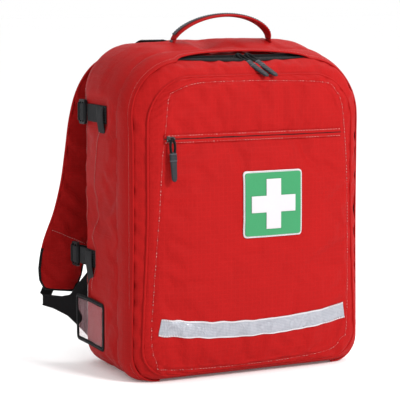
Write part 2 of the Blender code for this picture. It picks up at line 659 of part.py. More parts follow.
def build():
    clear_scene()
    rear_shell()
    zip_tape("main_zip_tape_rear", ZIP_Y + 0.0002, ZIP_Y + 0.014)
    rain_flap()
    back_panel()
    pouches()
    lid = lid_shell()
    move_origin(lid, (0, ZIP_Y, HINGE_Z))
    tape = zip_tape("main_zip_tape_front", ZIP_Y - 0.0118, ZIP_Y - 0.0002)
    coil, pocket_slider, pocket_puller = pocket_zip()
    move_origin(pocket_slider, (POCKET_SLIDER_X, FRONT_Y, POCKET_ZIP_Z))
    ride(pocket_slider, pocket_puller)
    ride(lid, tape, front_pocket(), front_yoke(), coil, pocket_slider, *badge(), reflective_strip())
    ride(lid, *main_sliders())
    top_handle()
    id_pocket()
    for side in (-1, 1):
        shoulder_strap(side)
        for height in COMPRESSION_STRAPS:
            compression_strap(side, height)


build()
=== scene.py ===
"""The looks of a soft first aid rucksack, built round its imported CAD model.

Metres, +Z up. The front faces -Y, the wearer's back is at +Y, and the wearer's left is at -X.
"""

import functools
import json
import math

import bmesh
import bpy
from mathutils import Matrix, Vector, noise
from mathutils.bvhtree import BVHTree

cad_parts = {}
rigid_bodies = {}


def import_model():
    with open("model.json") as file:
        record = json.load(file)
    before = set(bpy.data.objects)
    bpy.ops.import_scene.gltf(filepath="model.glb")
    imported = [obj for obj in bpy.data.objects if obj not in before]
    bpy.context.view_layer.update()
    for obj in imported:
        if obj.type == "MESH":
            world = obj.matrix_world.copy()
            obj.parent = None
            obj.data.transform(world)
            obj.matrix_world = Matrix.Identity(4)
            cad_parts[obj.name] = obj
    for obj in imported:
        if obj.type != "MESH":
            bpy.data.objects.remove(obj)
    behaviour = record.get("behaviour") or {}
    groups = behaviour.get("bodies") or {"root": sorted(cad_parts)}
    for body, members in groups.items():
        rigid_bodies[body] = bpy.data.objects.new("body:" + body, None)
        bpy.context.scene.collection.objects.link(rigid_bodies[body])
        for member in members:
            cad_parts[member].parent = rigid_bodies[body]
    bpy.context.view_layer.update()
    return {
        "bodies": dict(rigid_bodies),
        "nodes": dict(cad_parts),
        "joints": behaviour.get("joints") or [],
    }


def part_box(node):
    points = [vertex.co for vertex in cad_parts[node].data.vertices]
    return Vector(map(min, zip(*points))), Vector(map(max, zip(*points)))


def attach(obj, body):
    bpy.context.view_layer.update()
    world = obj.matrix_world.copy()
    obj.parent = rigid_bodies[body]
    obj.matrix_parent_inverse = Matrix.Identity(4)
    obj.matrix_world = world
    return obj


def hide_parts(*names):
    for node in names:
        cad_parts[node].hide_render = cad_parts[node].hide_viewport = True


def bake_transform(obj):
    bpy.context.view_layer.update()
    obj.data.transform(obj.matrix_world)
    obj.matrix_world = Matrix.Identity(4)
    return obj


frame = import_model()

scene = bpy.context.scene
SIDES = {"left": -1, "right": 1}
RIGHT = Vector((1, 0, 0))
FORWARD = Vector((0, -1, 0))
ACROSS = Vector((0, 1, 0))
UP = Vector((0, 0, 1))

# Camera ----------------------------------------

CAMERA_AZIMUTH = math.radians(-26.45)
CAMERA_ELEVATION = math.radians(7.13)
CAMERA_DISTANCE = 2.6
CAMERA_TARGET = Vector((-0.0386, 0, 0.2571))
CAMERA_LENS = 151.5


def add_camera():
    level = math.cos(CAMERA_ELEVATION)
    back = Vector((math.sin(CAMERA_AZIMUTH) * level, -math.cos(CAMERA_AZIMUTH) * level,
                   math.sin(CAMERA_ELEVATION)))
    camera = bpy.data.objects.new("camera", bpy.data.cameras.new("camera"))
    scene.collection.objects.link(camera)
    camera.location = CAMERA_TARGET + back * CAMERA_DISTANCE
    camera.rotation_euler = back.to_track_quat("Z", "Y").to_euler()
    camera.data.lens = CAMERA_LENS
    scene.camera = camera


# Materials ----------------------------------------


class Shader:
    """A material's node tree, with short calls that add to it."""

    def __init__(self, name):
        self.material = bpy.data.materials.new(name)
        self.material.use_nodes = True
        self.tree = self.material.node_tree
        self.surface = self.tree.nodes["Principled BSDF"]
        self.place = self.add("TexCoord").outputs["Object"]

    def give(self, socket, value):
        if isinstance(value, bpy.types.NodeSocket):
            self.tree.links.new(value, socket)
        elif isinstance(value, tuple) and socket.type == "RGBA":
            socket.default_value = (*value[:3], 1)
        else:
            socket.default_value = value

    def add(self, kind, settings=None, **inputs):
        made = self.tree.nodes.new("ShaderNode" + kind)
        for key, value in (settings or {}).items():
            setattr(made, key, value)
        for key, value in inputs.items():
            self.give(made.inputs[key.replace("_", " ")], value)
        return made

    def set(self, **inputs):
        for key, value in inputs.items():
            self.give(self.surface.inputs[key.replace("_", " ")], value)

    def maths(self, operation, a, b=0.0):
        made = self.add("Math", {"operation": operation})
        self.give(made.inputs[0], a)
        self.give(made.inputs[1], b)
        return made.outputs[0]

    def total(self, *parts):
        """The sum of (height, depth) pairs, each height scaled by its depth."""
        whole = 0.0
        for height, depth in parts:
            whole = self.maths("ADD", self.maths("MULTIPLY", height, depth), whole)
        return whole

    def bands(self, axis, period, sharpness=1.0):
        """Ridges across an axis, this far apart, narrower the sharper they are."""
        wave = self.add("TexWave", {"bands_direction": axis}, Vector=self.place, Scale=math.tau / 20 / period)
        if sharpness == 1.0:
            return wave.outputs["Fac"]
        return self.maths("POWER", wave.outputs["Fac"], sharpness)

    def noise(self, size, detail=2.0, distortion=0.0, stretch=(1, 1, 1)):
        """Noise from 0 to 1 whose features are about this large."""
        place = self.add("Mapping", Vector=self.place, Scale=stretch).outputs[0]
        made = self.add("TexNoise", Vector=place, Scale=1 / size, Detail=detail, Distortion=distortion)
        return made.outputs["Fac"]

    def mix(self, share, first, second):
        made = self.add("Mix", {"data_type": "RGBA"})
        for socket, value in zip((made.inputs[0], made.inputs[6], made.inputs[7]), (share, first, second)):
            self.give(socket, value)
        return made.outputs[2]

    def patterned(self, pattern, strength, first, second):
        """The first colour, with this much of the second one where a pattern is high."""
        return self.mix(self.maths("MULTIPLY", pattern, strength), first, second)

    def relief(self, *parts):
        """A bump whose height in metres is the sum of (height, depth) pairs."""
        bump = self.add("Bump", Height=self.total(*parts), Distance=1.0, Strength=1.0)
        self.set(Normal=bump.outputs["Normal"])


def tinted(colour, factor):
    return tuple(min(1.0, c * factor) for c in colour)


def nylon(name, colour, gloss=0.5, crease=1.0):
    """Coated woven nylon: threads, a faint ripstop grid, soft creases, worn patches and a little sheen."""
    shader = Shader(name)
    threads = shader.maths("ADD", shader.bands("X", 0.0013), shader.bands("Z", 0.0011))
    threads = shader.maths("ADD", threads, shader.bands("Y", 0.0013))
    grid = shader.maths("MAXIMUM", shader.bands("X", 0.007, 16), shader.bands("Z", 0.007, 16))
    patches = shader.noise(0.05, 3)
    grain = shader.noise(0.0018, 1)
    crinkles = shader.noise(0.045, 2, 0.8)
    pucker = shader.noise(0.009, 2, 0.6)
    worn = shader.mix(patches, tinted(colour, 0.92), tinted(colour, 1.08))
    specked = shader.patterned(grain, 0.3, worn, tinted(colour, 0.62))
    lined = shader.patterned(grid, 0.14, specked, tinted(colour, 1.5))
    shader.set(Base_Color=lined, Roughness=shader.total((patches, 0.12), (1.0, gloss - 0.06)),
               Specular_IOR_Level=0.03, Sheen_Weight=0.01, Sheen_Roughness=0.5, Sheen_Tint=(1.0, 0.1, 0.1))
    shader.relief((crinkles, 0.0022 * crease), (pucker, 0.0004 * crease), (threads, 0.00009), (grid, 0.0001))
    return shader.material


def webbing(name, colour, rib=0.0018):
    """Ribbed webbing with painted shade in the grooves between its ribs and a painted highlight on its raised
    threads.
    """
    shader = Shader(name)
    ribs = shader.maths("MULTIPLY", shader.bands("Z", rib), shader.bands("Y", rib * 1.3))
    ribs = shader.maths("ADD", ribs, shader.bands("X", rib * 1.3))
    fuzz = shader.noise(0.0012, 2)
    scuffs = shader.noise(0.016, 3)
    height = shader.maths("ADD", ribs, fuzz)
    # painted shade and painted highlight: the colour follows the ribs' height, darker in the grooves and
    # lighter on the raised threads
    base = shader.patterned(height, 0.4, tinted(colour, 0.4), tinted(colour, 2.0))
    shader.set(Base_Color=shader.patterned(scuffs, 0.6, base, tinted(colour, 0.7)), Roughness=0.8,
               Sheen_Weight=0.06, Sheen_Roughness=0.4, Specular_IOR_Level=0.08)
    shader.relief((scuffs, 0.0008), (height, 0.0005))
    return shader.material


def spacer_mesh(name, colour):
    """Padded mesh with a field of small round holes, each painted as a dark spot: painted shade in the holes.
    """
    shader = Shader(name)
    cells = shader.add("TexVoronoi", {"feature": "SMOOTH_F1"}, Vector=shader.place, Scale=300, Randomness=0.2)
    shaded_holes = shader.maths("MINIMUM", cells.outputs["Distance"], 0.6)
    soft = shader.noise(0.05, 2)
    # painted shade: each hole is darker towards its middle, where the bump sinks it in
    shader.set(Base_Color=shader.patterned(shaded_holes, 1.6, tinted(colour, 0.25), tinted(colour, 2.2)),
               Roughness=0.9, Sheen_Weight=0.3, Specular_IOR_Level=0.25)
    shader.relief((soft, 0.003), (shaded_holes, 0.001))
    return shader.material


def plastic(name, colour, roughness=0.36, grain=0.00008):
    """Moulded plastic with a fine texture, dulled in places by handling."""
    shader = Shader(name)
    handled = shader.noise(0.012, 3)
    shader.set(Base_Color=shader.patterned(handled, 0.5, colour, tinted(colour, 1.7)),
               Roughness=shader.total((handled, 0.3), (1.0, roughness - 0.12)), Specular_IOR_Level=0.14)
    shader.relief((shader.noise(0.0009, 1), grain))
    return shader.material


def rubber(name, colour):
    """Soft moulded rubber with fine cross ribs and a little dust."""
    shader = Shader(name)
    dust = shader.noise(0.006, 3)
    shader.set(Base_Color=shader.patterned(dust, 0.6, colour, tinted(colour, 1.5)), Roughness=0.55,
               Specular_IOR_Level=0.14)
    shader.relief((shader.bands("Z", 0.0028, 3), 0.0003), (dust, 0.0002))
    return shader.material


def lacquered(name, colour):
    """Black lacquer with lighter rubbed specks, as on a much used slider."""
    shader = Shader(name)
    rubbed = shader.maths("GREATER_THAN", shader.noise(0.0022, 3), 0.64)
    shader.set(Base_Color=shader.mix(rubbed, colour, (0.3, 0.29, 0.27)), Roughness=0.32,
               Metallic=shader.maths("MULTIPLY", rubbed, 0.8))
    shader.relief((shader.noise(0.0015, 1), 0.00008))
    return shader.material


def vinyl(name, colour, alpha):
    """Clear soft vinyl with long ripples and a slight haze."""
    shader = Shader(name)
    ripples = shader.noise(0.024, 2, 1.5, (1, 1, 0.35))
    haze = shader.noise(0.01, 3)
    shader.set(Base_Color=colour, Roughness=0.14, Coat_Weight=0.25, Coat_Roughness=0.06,
               Alpha=shader.total((haze, 0.14), (1.0, alpha)))
    shader.relief((ripples, 0.006))
    return shader.material


def soft_pvc(name, colour):
    """Satin moulded PVC with a slight grain, dustier in patches."""
    shader = Shader(name)
    dust = shader.noise(0.03, 3)
    shader.set(Base_Color=shader.patterned(dust, 0.35, colour, tinted(colour, 0.8)), Roughness=0.42)
    shader.relief((shader.noise(0.0012, 1), 0.00006), (dust, 0.001))
    return shader.material


def retroreflective(name):
    """Silver tape: tiny prisms in a diamond grid, creased where the bag bends, with painted shade in the
    creases' hollows and a painted highlight on their ridges.
    """
    shader = Shader(name)
    prisms = shader.maths("MULTIPLY", shader.bands("X", 0.0024), shader.bands("Z", 0.0024))
    creases = shader.noise(0.016, 4, 2.0)
    # painted shade and painted highlight: darker where the creases sink in, lighter on their ridges
    crease_shading = shader.mix(creases, (0.17, 0.18, 0.205), (0.35, 0.36, 0.405))
    shader.set(Base_Color=shader.patterned(prisms, 0.3, crease_shading, (0.62, 0.63, 0.66)), Metallic=0.3,
               Roughness=0.34)
    shader.relief((creases, 0.0016), (prisms, 0.0001))
    return shader.material


def paper(name, colour):
    """Slightly fibrous packaging paper."""
    shader = Shader(name)
    fibres = shader.noise(0.004, 4, 0.8)
    shader.set(Base_Color=shader.patterned(fibres, 0.4, colour, tinted(colour, 0.75)), Roughness=0.7)
    shader.relief((fibres, 0.0004))
    return shader.material


RED = (0.31, 0.0078, 0.0078)
FINISHES = {
    "red_fabric": nylon("red_nylon", RED),
    "red_padding": nylon("padded_nylon", tinted(RED, 0.92), 0.6, 0.5),
    "pouch_fabric": nylon("pouch_nylon", tinted(RED, 0.9), 0.6, 0.6),
    "grey_webbing": webbing("grey_webbing", (0.013, 0.0135, 0.015)),
    "stripe_webbing": webbing("stripe_webbing", (0.06, 0.062, 0.07)),
    "coated_black": nylon("coated_black", (0.008, 0.0078, 0.0084), 0.5, 0.6),
    "black_webbing": webbing("black_tape", (0.006, 0.0062, 0.0068), 0.0012),
    "black_mesh": spacer_mesh("black_mesh", (0.02, 0.021, 0.023)),
    "buckle_plastic": plastic("acetal", (0.006, 0.0062, 0.007), 0.42),
    "zip_teeth": plastic("nylon_teeth", (0.014, 0.014, 0.016), 0.3),
    "slider_metal": lacquered("black_lacquer", (0.01, 0.01, 0.011)),
    "puller_rubber": rubber("grey_rubber", (0.016, 0.017, 0.02)),
    "puller_clamp": plastic("grey_clamp", (0.06, 0.062, 0.07), 0.45),
    "clear_vinyl": vinyl("clear_vinyl", (0.46, 0.22, 0.25), 0.1),
    "window_vinyl": vinyl("window_vinyl", (0.8, 0.8, 0.82), 0.05),
    "badge_white": soft_pvc("white_pvc", (0.48, 0.46, 0.475)),
    "badge_green": soft_pvc("green_pvc", (0.009, 0.195, 0.064)),
    "reflective": retroreflective("reflective_tape"),
    "reflective_edge": soft_pvc("reflective_edge", (0.48, 0.46, 0.48)),
    "stiffener": plastic("polyethylene", (0.45, 0.45, 0.43), 0.5),
    "thread": webbing("pale_thread", (0.62, 0.27, 0.26), 0.0008),
    "dark_thread": webbing("dark_thread", (0.1, 0.1, 0.11), 0.0008),
    "gauze": paper("gauze", (0.62, 0.61, 0.58)),
    "green_pack": paper("green_pack", (0.04, 0.24, 0.13)),
    "blue_pack": paper("blue_pack", (0.08, 0.16, 0.34)),
}


# Building blocks ----------------------------------------


def finished(obj, finish, body, stands_for=()):
    """Gives a new object its finish and any body, and hides the CAD nodes it stands for."""
    obj.data.materials.clear()
    obj.data.materials.append(FINISHES[finish])
    if body:
        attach(obj, body)
    if stands_for:
        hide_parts(*([stands_for] if isinstance(stands_for, str) else stands_for))
    return obj


def piece(name, points, faces, finish, body, stands_for=(), sharp_degrees=None, inside=None):
    """A mesh piece in its place, riding on a body. An open one faces away from a point inside."""
    mesh = bpy.data.meshes.new(name)
    mesh.from_pydata([tuple(p) for p in points], [], faces)
    shape = bmesh.new()
    shape.from_mesh(mesh)
    bmesh.ops.recalc_face_normals(shape, faces=shape.faces)
    if inside and sum((f.calc_center_median() - inside).dot(f.normal) for f in shape.faces) < 0:
        bmesh.ops.reverse_faces(shape, faces=shape.faces)
    shape.to_mesh(mesh)
    shape.free()
    mesh.shade_smooth()
    if sharp_degrees:
        mesh.set_sharp_from_angle(angle=math.radians(sharp_degrees))
    obj = bpy.data.objects.new(name, mesh)
    scene.collection.objects.link(obj)
    return finished(obj, finish, body, stands_for)


def grid_faces(rows, columns, wrap=False):
    """Quads between rows of points, each row closed on itself if it wraps."""
    faces = []
    for r in range(rows - 1):
        for c in range(columns if wrap else columns - 1):
            after = (c + 1) % columns
            low, high = r * columns, (r + 1) * columns
            faces.append((low + c, low + after, high + after, high + c))
    return faces


def surface(name, rows, finish, body, stands_for=(), wrap=False, caps=(), inside=None):
    """A surface through rows of points, with caps over its first row (0) or its last one (-1)."""
    columns = len(rows[0])
    faces = grid_faces(len(rows), columns, wrap)
    for row in caps:
        start = row % len(rows) * columns
        faces.append(tuple(range(start, start + columns)))
    return piece(name, [p for row in rows for p in row], faces, finish, body, stands_for, inside=inside)


def solid(name, rows, finish, body, stands_for=()):
    """A closed solid through rings of points."""
    return surface(name, rows, finish, body, stands_for, wrap=True, caps=(0, -1))


def thicken(obj, thickness):
    modifier = obj.modifiers.new("cloth_thickness", "SOLIDIFY")
    modifier.thickness = thickness
    modifier.offset = 0
    return obj


def smoothed(obj, levels=1):
    modifier = obj.modifiers.new("smooth", "SUBSURF")
    modifier.levels = levels
    modifier.render_levels = levels
    return obj


def rounded(obj, width, segments=2):
    modifier = obj.modifiers.new("round_edges", "BEVEL")
    modifier.width = width
    modifier.segments = segments
    modifier.limit_method = "ANGLE"
    return obj


def eased(t):
    """0 to 1 with level ends."""
    t = min(1.0, max(0.0, t))
    return t * t * (3 - 2 * t)


def interpolated(table, at):
    """The values of a table at a position, each of its rows being a position and its values."""
    for before, after in zip(table, table[1:]):
        if at <= after[0]:
            t = max(0.0, (at - before[0]) / (after[0] - before[0]))
            return [a + (b - a) * t for a, b in zip(before[1:], after[1:])]
    return list(table[-1][1:])


def spaced(first, last, size):
    """Values from the first to the last, about this far apart."""
    count = max(1, round(abs(last - first) / size))
    return [first + (last - first) * i / count for i in range(count + 1)]


def smooth_route(points, steps):
    """Points on a Catmull-Rom curve through a route's own points."""
    known = [Vector(p) for p in points]
    known = [2 * known[0] - known[1], *known, 2 * known[-1] - known[-2]]
    made = []
    for a, b, c, d in zip(known, known[1:], known[2:], known[3:]):
        for i in range(steps):
            t = i / steps
            made.append(0.5 * (2 * b + (c - a) * t + (2 * a - 5 * b + 4 * c - d) * t * t
                               + (3 * b - a - 3 * c + d) * t ** 3))
    return [*made, known[-2]]


def evenly(route, step):
    """(point, direction) pairs this far apart along a route."""
    made, gone, due = [], 0.0, step / 2
    for a, b in zip(route, route[1:]):
        length = (b - a).length
        while length > 0 and due <= gone + length:
            made.append((a.lerp(b, (due - gone) / length), (b - a) / length))
            due += step
        gone += length
    return made


def arc(centre, radius, start_degrees, end_degrees, steps):
    step = math.radians(end_degrees - start_degrees) / steps
    start = math.radians(start_degrees)
    return [(centre[0] + radius * math.cos(start + i * step), centre[1] + radius * math.sin(start + i * step))
            for i in range(steps + 1)]


def rounded_rectangle(half_width, half_height, radius, steps=4, centre=(0, 0)):
    points = []
    for sx, sy, start in ((1, -1, -90), (1, 1, 0), (-1, 1, 90), (-1, -1, 180)):
        corner = (centre[0] + sx * (half_width - radius), centre[1] + sy * (half_height - radius))
        points += arc(corner, radius, start, start + 90, steps)
    return points


def squarish_ring(centre, right, up, power, steps):
    """Points round a rounded rectangle that is squarer the higher its power."""
    ring = []
    for k in range(steps):
        c, s = math.cos(math.tau * k / steps), math.sin(math.tau * k / steps)
        squared = (abs(c) ** power + abs(s) ** power) ** (-1 / power)
        ring.append(centre + right * (squared * c) + up * (squared * s))
    return ring


def settle(obj, sewn, ease, pressure, cap, frames=14, bending=0.5):
    """Lets a piece of cloth settle between its sewn points, with some cloth to spare and air behind it.

    No point moves further than the cap, so that the cloth stays clear of what is near it. Cloth held
    perfectly smooth would never buckle, so it starts with a faint unevenness."""
    unevenness, its_size = 0.000875, 0.018
    rest = [v.co.copy() for v in obj.data.vertices]
    held = set(sewn)
    for i, vertex in enumerate(obj.data.vertices):
        if i not in held:
            vertex.co += noise.noise_vector(rest[i] / its_size) * unevenness
    group = obj.vertex_groups.new(name="sewn")
    group.add(list(held), 1.0, "REPLACE")
    cloth = obj.modifiers.new("cloth", "CLOTH")
    cloth.point_cache.frame_start = 1
    cloth.point_cache.frame_end = frames
    settings = cloth.settings
    settings.quality = 4
    settings.mass = 0.2
    settings.tension_stiffness = 25
    settings.compression_stiffness = 25
    settings.shear_stiffness = 8
    settings.bending_stiffness = bending
    settings.air_damping = 2
    settings.vertex_group_mass = "sewn"
    settings.use_pressure = True
    settings.uniform_pressure_force = pressure
    settings.shrink_min = -ease
    settings.effector_weights.gravity = 0
    for step in range(1, frames + 1):
        scene.frame_set(step)
    evaluated = obj.evaluated_get(bpy.context.evaluated_depsgraph_get())
    moved = [v.co.copy() for v in evaluated.data.vertices]
    obj.modifiers.remove(cloth)
    obj.vertex_groups.remove(group)
    scene.frame_set(1)
    for vertex, before, after in zip(obj.data.vertices, rest, moved):
        move = after - before
        vertex.co = before + move * min(1.0, cap / max(1e-9, move.length))


def tree_of(*objs):
    """A search tree of the surfaces of pieces with their modifiers."""
    points, faces = [], []
    graph = bpy.context.evaluated_depsgraph_get()
    for obj in objs:
        evaluated = obj.evaluated_get(graph)
        mesh = evaluated.to_mesh()
        start = len(points)
        points += [v.co.copy() for v in mesh.vertices]
        faces += [tuple(start + i for i in p.vertices) for p in mesh.polygons]
        evaluated.to_mesh_clear()
    return BVHTree.FromPolygons(points, faces)


def laid_on(tree, point, toward, lift=0.0, reach=0.06):
    """A point moved onto a surface, seen along a direction, and lifted off it."""
    hit, _, _, _ = tree.ray_cast(point - toward * reach, toward)
    return (hit if hit else point) - toward * lift


def on_front(tree, x, z, lift=0.0):
    """A point on the front's surface, or lifted off it."""
    return laid_on(tree, Vector((x, SEAM_Y, z)), -FORWARD, lift)


def stitches(name, route, tree, body, finish="thread", pitch=0.0048, length=0.003, width=0.0009):
    """A row of thread stitches along a route that lies near a surface."""
    points, faces = [], []
    for middle, along in evenly(route, pitch):
        hit, normal, _, _ = tree.find_nearest(middle)
        if normal.dot(middle - hit) < 0:
            normal = -normal
        across = along.cross(normal).normalized()
        start = len(points)
        for end, rise in ((-0.5, -0.0002), (-0.25, 0.0007), (0.25, 0.0007), (0.5, -0.0002)):
            centre = hit + along * (length * end) + normal * rise
            half = across * (width / 2)
            points += [centre - half, centre + half, centre - normal * 0.0006]
        faces += [(start, start + 2, start + 1), (start + 9, start + 10, start + 11)]
        for a in (start, start + 3, start + 6):
            faces += [(a, a + 1, a + 4, a + 3), (a + 1, a + 2, a + 5, a + 4), (a + 2, a, a + 3, a + 5)]
    return piece(name, points, faces, finish, body)


def tube(name, route, radius, finish, body, stands_for=(), closed=False):
    """A cord, welt or binding along a route."""
    curve = bpy.data.curves.new(name, "CURVE")
    curve.dimensions = "3D"
    curve.bevel_depth = radius
    curve.bevel_resolution = 3
    curve.use_fill_caps = True
    spline = curve.splines.new("POLY")
    spline.points.add(len(route) - 1)
    for point, place in zip(spline.points, route):
        point.co = (*place, 1)
    spline.use_cyclic_u = closed
    spline.use_smooth = True
    obj = bpy.data.objects.new(name, curve)
    scene.collection.objects.link(obj)
    return finished(obj, finish, body, stands_for)


def band(name, route, width, thickness, across, finish, body, stands_for=(), columns=8, crown=0.0):
    """A strap along a route: a closed strip, its width kept near a direction, with rounded edges.

    Its width is one value or one for each point, and its crown is how far its middle swells on both sides."""
    rows = []
    for i, point in enumerate(route):
        along = (route[min(i + 1, len(route) - 1)] - route[max(i - 1, 0)]).normalized()
        wide = (across - across.dot(along) * along).normalized()
        out = along.cross(wide)
        half = (width[i] if isinstance(width, list) else width) / 2
        section = []
        for k in range(columns + 1):
            s = math.sin(math.pi * (k / columns - 0.5))
            edge = (1 - abs(s) ** 6) ** 0.5
            section.append((s, 0.5 * thickness * (0.3 + 0.7 * edge) + crown * (1 - s * s)))
        ring = [point + wide * (half * s) + out * h for s, h in section]
        ring += [point + wide * (half * s) - out * h for s, h in reversed(section)]
        rows.append(ring)
    return solid(name, rows, finish, body, stands_for)


def flat_place(origin, x_axis, y_axis):
    """The matrix that puts a flat drawing's own X and Y along two directions at a point."""
    x = Vector(x_axis).normalized()
    y = (Vector(y_axis) - Vector(y_axis).dot(x) * x).normalized()
    return Matrix.Translation(origin) @ Matrix((x, y, x.cross(y))).transposed().to_4x4()


def plate(name, loops, thickness, place, finish, body, stands_for=(), rounding=0.0):
    """A flat plate with rounded edges, drawn in its own plane: its outline first, then its holes."""
    curve = bpy.data.curves.new(name, "CURVE")
    curve.dimensions = "2D"
    curve.fill_mode = "BOTH"
    curve.extrude = thickness / 2 - rounding
    curve.bevel_depth = rounding
    curve.bevel_resolution = 2
    curve.offset = -rounding
    for loop in loops:
        spline = curve.splines.new("POLY")
        spline.points.add(len(loop) - 1)
        for point, (x, y) in zip(spline.points, loop):
            point.co = (x, y, 0, 1)
        spline.use_cyclic_u = True
    drawn = bpy.data.objects.new(name + "_drawn", curve)
    mesh = bpy.data.meshes.new_from_object(drawn)
    bpy.data.objects.remove(drawn)
    mesh.transform(place)
    mesh.shade_smooth()
    mesh.set_sharp_from_angle(angle=math.radians(40))
    obj = bpy.data.objects.new(name, mesh)
    scene.collection.objects.link(obj)
    return finished(obj, finish, body, stands_for)


def joint_pivot(name):
    """A hinge's place at rest, from the record."""
    return next(Vector(joint["pos_m"]) for joint in frame["joints"] if joint["name"] == name)


# The bag's outline ----------------------------------------

# Along Y: half width, bottom, top, top corner radius, bottom corner radius, crown of the top edge
SKIN = [
    (-0.0970, 0.1715, 0.0120, 0.4520, 0.070, 0.042, 0.000),
    (-0.0945, 0.1765, 0.0085, 0.4580, 0.074, 0.041, 0.000),
    (-0.0900, 0.1825, 0.0060, 0.4645, 0.077, 0.039, 0.000),
    (-0.0830, 0.1880, 0.0035, 0.4705, 0.081, 0.037, 0.000),
    (-0.0750, 0.1908, 0.0020, 0.4750, 0.084, 0.035, 0.000),
    (-0.0620, 0.1925, 0.0016, 0.4780, 0.085, 0.035, 0.000),
    (-0.0580, 0.1930, 0.0016, 0.4790, 0.085, 0.035, 0.000),
    (-0.0300, 0.1950, 0.0016, 0.4885, 0.083, 0.035, 0.001),
    (0.0200, 0.1955, 0.0016, 0.4950, 0.078, 0.035, 0.002),
    (0.0700, 0.1935, 0.0016, 0.4945, 0.073, 0.035, 0.003),
    (0.0880, 0.1890, 0.0020, 0.4890, 0.070, 0.035, 0.002),
    (0.0930, 0.1860, 0.0040, 0.4860, 0.068, 0.035, 0.002),
    (0.0950, 0.1820, 0.0070, 0.4830, 0.066, 0.035, 0.001),
]
RIM_Y = -0.058
ZIP_Y = joint_pivot("lid_hinge").y
LID_RIM_Y = -0.066
COVERED_Y = -0.0785  # the flap lies over the lid's edge behind this
SEAM_Y = -0.097
BACK_Y = 0.095
AROUND = 260  # points round an outline, from the middle of the bottom towards +X
ARCH = range(24, AROUND - 23)  # those of the main zip, from one bottom corner to the other
INSIDE = Vector((0, -0.03, 0.25))


def outline_points(half_width, bottom, top, top_radius, bottom_radius, crown):
    """Evenly spaced points (x, z) round an outline."""
    w, rt, rb = half_width, top_radius, bottom_radius
    line = [(0, bottom)]
    line += arc((w - rb, bottom + rb), rb, -90, 0, 15)
    line += arc((w - rt, top - rt), rt, 0, 90, 15)
    line += [((w - rt) * s / 4, top + crown * (1 - s * s / 16)) for s in (3, 2, 1, 0, -1, -2, -3)]
    line += arc((rt - w, top - rt), rt, 90, 180, 15)
    line += arc((rb - w, bottom + rb), rb, 180, 270, 15)
    line = [Vector(p) for p in [*line, (0, bottom)]]
    lengths = [0.0]
    for a, b in zip(line, line[1:]):
        lengths.append(lengths[-1] + (b - a).length)
    made, i = [], 0
    for k in range(AROUND):
        at = lengths[-1] * k / AROUND
        while lengths[i + 1] < at:
            i += 1
        made.append(line[i].lerp(line[i + 1], (at - lengths[i]) / max(1e-9, lengths[i + 1] - lengths[i])))
    return made


def flare(y, z):
    """How much wider the front's lower half is than its upper half."""
    return 1 + 0.055 * eased((0.27 - z) / 0.25) * eased((-0.078 - y) / 0.018)


@functools.cache
def skin_ring(y, out=0.0):
    """Points round the bag at a depth, moved out from the skin."""
    w, bottom, top, rt, rb, crown = interpolated(SKIN, y)
    ring = outline_points(w + out, bottom - out, top + out, rt + out, rb + out, crown)
    return [Vector((p.x * flare(y, p.y), y, p.y)) for p in ring]


def skin_point(i, y, out=0.0):
    return skin_ring(round(y, 4), round(out, 4))[i]


def outward(i):
    """Straight out from the bag at a point round its outline."""
    ring = skin_ring(ZIP_Y)
    tangent = (ring[(i + 1) % AROUND] - ring[i - 1]).normalized()
    return Vector((tangent.z, 0, -tangent.x))


def half_width_at(z, w, bottom, top, rt, rb):
    """Half the width of an outline at a height."""
    if z > top - rt:
        return w - rt + math.sqrt(max(0.0, rt * rt - (z - top + rt) ** 2))
    if z < bottom + rb:
        return w - rb + math.sqrt(max(0.0, rb * rb - (z - bottom - rb) ** 2))
    return w


# Bag, flap and main zip ----------------------------------------

COMPRESSION_FRONTS = {"upper": -0.006, "lower": 0.042}  # where each side strap is sewn down, in y
FREE_SWELL = 0.203  # how far out the sides may swell, in x
STRAP_SWELL = 0.1945  # the same below a side strap
POCKET_SWELL = 0.1962  # and behind the card pocket
SWELL_SLOPE = 0.4  # how fast it rises beside them
BASE_CLEARANCE = 0.0016  # the lowest the skin hangs, above the floor


def held_in(point):
    """The furthest out that the side may swell, where the side straps and the card pocket hold it in."""
    limit = FREE_SWELL
    for height, front in COMPRESSION_FRONTS.items():
        pivot = joint_pivot(f"side_buckle_{height}_left_swing")
        beside = max(0.0, abs(point.z - pivot.z) - 0.016)
        limit = min(limit, STRAP_SWELL + SWELL_SLOPE * math.hypot(beside, max(0.0, front - point.y)))
    hinge = joint_pivot("card_pocket_swing")
    beyond = math.hypot(max(0.0, abs(point.z - hinge.z) - 0.038), max(0.0, hinge.y - point.y))
    return min(limit, POCKET_SWELL + SWELL_SLOPE * beyond)


def bag_skin():
    """The sides, top, bottom and back of the bag, one skin that sags and creases between its seams."""
    back_rows = [0.0915, 0.094, BACK_Y]
    rows = [skin_ring(y) for y in spaced(RIM_Y, 0.088, 0.0062) + back_rows]
    skin = surface("bag_skin", rows, "red_fabric", "bag", "rear_shell", wrap=True, inside=INSIDE)
    sewn_behind = (len(rows) - len(back_rows)) * AROUND
    sewn = [i for i, vertex in enumerate(skin.data.vertices)
            if i < AROUND or i >= sewn_behind or vertex.co.z < 0.004]
    settle(skin, sewn, 0.026, 1.0, 0.0065, bending=2.5)
    for vertex in skin.data.vertices:
        limit = held_in(vertex.co)
        vertex.co.x = min(limit, max(-limit, vertex.co.x))
        vertex.co.z = max(vertex.co.z, BASE_CLEARANCE)
    thicken(skin, 0.0018)
    return smoothed(skin)


